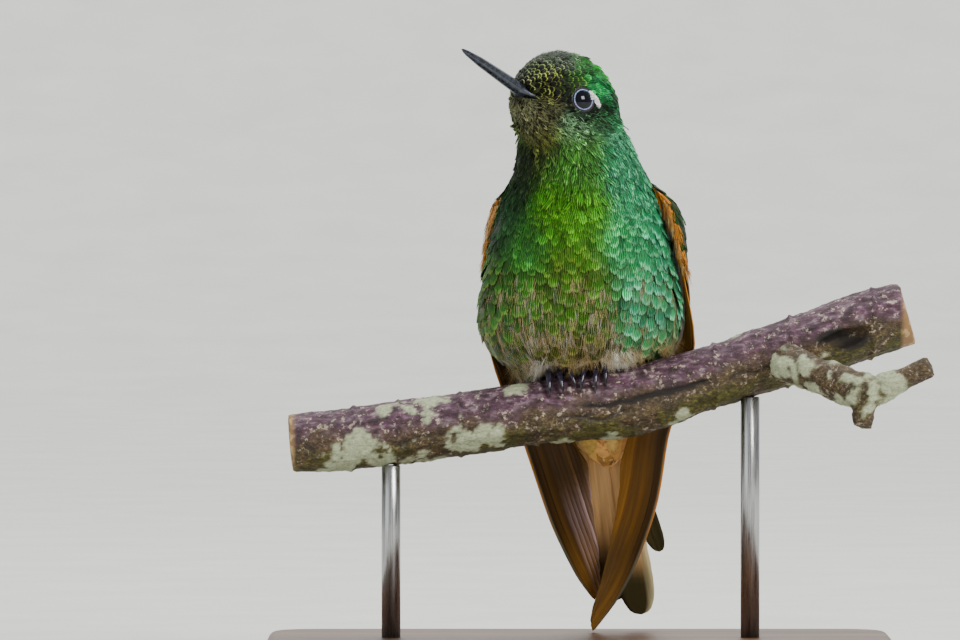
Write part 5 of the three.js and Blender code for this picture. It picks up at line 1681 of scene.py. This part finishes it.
# ---- Wings and tail ----------------------------------------------
for side in SIDES:
    dress(quills(f"flight_feathers_{side}", wing_specs(side), wing_surface(side), QUILL,
                 (f"wing_{side}_primaries", f"wing_{side}_secondaries")),
          FLIGHT_VANE)
    arm = fused((f"wing_{side}_coverts",), ARM_VOXEL, 0.1, 6, 0.1 + 0.3)
    laid = points_of(arm)
    laid[:, 0] -= SIDES[side] * 0.35 * np.maximum(laid[:, 2] - 32, 0) ** 1.3
    move_points(arm, laid)
    unwrap(arm)
    arm_ground = Ground(arm)
    paint(arm, "Hue", np.tile(colour("#2c1c06"), (len(arm_ground.points), 1)))
    dress(keep(f"wing_arm_{side}", arm, (f"wing_{side}_coverts",)), SKIN)

    edge = smooth_path(LEADING_EDGE[side])
    arm_roots = arm_ground.rows(lambda p: np.full(len(p), 1.2), 5.0, lambda p: -p[:, 2])
    where = arm_roots[0]
    count = len(where)
    edge_x = np.interp(where[:, 2], edge[::-1, 2], edge[::-1, 0])
    inner = smoothstep((edge_x - where[:, 0]) * SIDES[side], -0.3, 0.4)
    shown = inner if side == "left" else np.maximum(inner, where[:, 2] < 34)
    patch = (shown * (1 - smoothstep(to_wing_front(where, side), 1.4, 3.0)))[:, None]
    green = colour("#163610") * rng.normal(1, 0.25, (count, 1))
    orange = colour("#b8741c") * rng.normal(1, 0.2, (count, 1))
    greater = 1 - smoothstep(where[:, 2], where[:, 2].min(), where[:, 2].min() + 3.5)
    spec = {"length": 3.0 + greater * rng.uniform(0.8, 2.4, count), "width": 1.8, "lift": 0.26,
            "hue": mix(green, orange, patch), "margin": mix(green * 1.9, orange * 1.4, patch),
            "share": 0.4, "ragged": 0.07, "scaled": 0.5}
    dress(feathers(f"coverts_{side}", arm_ground, arm_roots, spec, SCALE_VANE),
          CONTOUR_VANE)

    def front_chance(points, normals):
        edge_x = np.interp(points[:, 2], edge[::-1, 2], edge[::-1, 0])
        inner = (edge_x - points[:, 0]) * SIDES[side] > (-0.5 if side == "left" else -2.0)
        return inner * np.exp(-(to_wing_front(points, side) / 1.9) ** 2)

    def front_wisps(points, normals):
        count = len(points)
        way = unit(np.stack([np.full(count, 0.22 * SIDES[side]), np.full(count, 0.05),
                             np.full(count, -1.0)], axis=1) + rng.normal(0, 0.05, (count, 3)))
        pick = rng.random((count, 1))
        hue = np.where(pick < 0.5, colour("#d88c28"), colour("#ecc488"))
        hue = np.where(pick > 0.85, colour("#5c3408"), hue)
        return {"length": rng.uniform(3.0, 6.0, count), "spread": 0.8, "lift": 0.5, "hue": hue,
                "thick": 0.12, "tuft": 0.9, "curl": 0.3, "shades": (0.45, 1.3), "free": 0.5,
                "way": way}

    wisps(f"wing_front_barbs_{side}", 4.0, front_chance, front_wisps, TUFT, DOWN,
          arm_ground)

dress(quills("tail_feathers", tail_specs(), tail_surface(), QUILL, ("tail",)),
      FLIGHT_VANE)

# ---- Bare parts --------------------------------------------------
dress(keep("bill_upper_horn", mesh_of(mandible(True)), ("bill_upper",)), BILL_HORN)
dress(keep("bill_lower_horn", mesh_of(mandible(False)), ("bill_lower",)), BILL_HORN)
for side in SIDES:
    dress(keep(f"eyeball_{side}", mesh_of(eyeball(side)), (f"eye_{side}",)), EYE_GLOSS)
    ring = ring_round_eye(side, 1.74, EYELID["ring"], EYELID["thick"], 0.9)
    dress(keep(f"eyelid_rim_{side}", mesh_of(ring)), PALE_LID)
    ring = ring_round_eye(side, 1.5, EYELID["bare"], EYELID["bare_thick"], 0.7)
    dress(keep(f"eyelid_{side}", mesh_of(ring)), DARK_LID)
    toes, claws = foot(side)
    toe_nodes = [f"toe_{side}_{i}" for i in range(1, 5)]
    claw_nodes = [f"claw_{side}_{i}" for i in range(1, 5)]
    dress(keep(f"toes_{side}", mesh_of(merged(toes)), toe_nodes), TOE_SKIN)
    mesh = mesh_of(merged(claws))
    points = points_of(mesh)
    spec = FEET[side]
    tips = [on_branch(spec["x"] + s + b, r, 0.2)
            for s, b, r in zip(spec["spread"], spec["claws"], spec["reach"])]
    tips.append(on_branch(spec["x"] + HALLUX["aside"], HALLUX["claw_to"], 0.2))
    apart = np.min(np.linalg.norm(points[:, None] - np.array(tips), axis=2), axis=1)
    paint(mesh, "Tip", 1 - smoothstep(apart, 0.7, 2.0))
    dress(keep(f"claws_{side}", mesh, claw_nodes), CLAW)

# ---- Perch and stand ---------------------------------------------
dress(keep("bark_of_perch", bark(), ("perch_branch", "perch_twig")), BARK)
plate = keep("walnut_base", mesh_of(base_plate()), ("stand_base",), smooth=False)
dress(plate, WALNUT)
for node, x in RODS.items():
    top = max(v.co.z for v in NODES[node].data.vertices) / MM
    foot_at = BASE["thickness"] - 0.01
    profile = [(0, foot_at), (ROD_RADIUS, foot_at), (ROD_RADIUS, top - ROD_CHAMFER),
               (ROD_RADIUS - ROD_CHAMFER, top), (0, top)]
    dress(keep(node + "_drawn", mesh_of(turned(profile, x)), (node,)), STEEL)

# ---- Stage, lights and camera, in metres -------------------------
STAGE_HALF = 3.0  # half the floor's width, and the height of the wall behind
LOOK_AT = Vector((-0.01587, 0.0, 0.0564))
CAMERA = {"away": 1.693, "rise": math.radians(1.0), "focal_mm": 400, "sensor_mm": 36}

# A floor and a wall behind, with a wide round fold between them.
bm = bmesh.new()
bmesh.ops.create_grid(bm, x_segments=1, y_segments=1, size=STAGE_HALF)
far = [e for e in bm.edges if all(v.co.y > STAGE_HALF - 0.1 for v in e.verts)]
wall = bmesh.ops.extrude_edge_only(bm, edges=far)
bmesh.ops.translate(bm, verts=[v for v in wall["geom"] if isinstance(v, bmesh.types.BMVert)],
                    vec=(0, 0, STAGE_HALF))
fold = [e for e in bm.edges if len(e.link_faces) == 2]
bmesh.ops.bevel(bm, geom=fold, offset=1.5, affect="EDGES", segments=24, profile=0.5, material=-1)
bmesh.ops.recalc_face_normals(bm, faces=bm.faces)
backdrop_mesh = mesh_of(bm, "backdrop")
backdrop_mesh.shade_smooth()
backdrop = bpy.data.objects.new("backdrop", backdrop_mesh)
bpy.context.scene.collection.objects.link(backdrop)
dress(backdrop, PAPER)


def soft_box(name, place, size, power, tint, aim=LOOK_AT):
    lamp = bpy.data.lights.new(name, "AREA")
    lamp.size, lamp.energy, lamp.color = size, power, tint
    holder = bpy.data.objects.new(name, lamp)
    holder.location = place
    holder.rotation_euler = (Vector(aim) - Vector(place)).to_track_quat("-Z", "Y").to_euler()
    bpy.context.scene.collection.objects.link(holder)


soft_box("key", (0.45, -0.6, 0.5), 0.35, 8.0, (1.0, 0.98, 0.95))
soft_box("fill", (-0.7, -0.6, 0.2), 0.6, 1.8, (0.96, 0.98, 1.0))
soft_box("top", (0.0, 0.3, 0.8), 0.4, 4.0, (1.0, 1.0, 1.0))
soft_box("backdrop_wash", (0.0, 1.2, 2.2), 2.0, 60.0, (1.0, 1.0, 1.0), (0.0, 2.8, 0.6))

world = bpy.data.worlds.new("studio")
world.use_nodes = True
sky = world.node_tree.nodes["Background"]
sky.inputs["Color"].default_value = (0.8, 0.82, 0.84, 1)
sky.inputs["Strength"].default_value = 0.55
bpy.context.scene.world = world

lens = bpy.data.cameras.new("camera")
lens.lens, lens.sensor_width = CAMERA["focal_mm"], CAMERA["sensor_mm"]
lens.clip_start, lens.clip_end = 0.1, 20
camera = bpy.data.objects.new("camera", lens)
towards = Vector((0, -math.cos(CAMERA["rise"]), math.sin(CAMERA["rise"])))
camera.location = LOOK_AT + towards * CAMERA["away"]
camera.rotation_euler = (LOOK_AT - camera.location).to_track_quat("-Z", "Y").to_euler()
bpy.context.scene.collection.objects.link(camera)
bpy.context.scene.camera = camera

# ---- The end -----------------------------------------------------
bpy.context.view_layer.update()
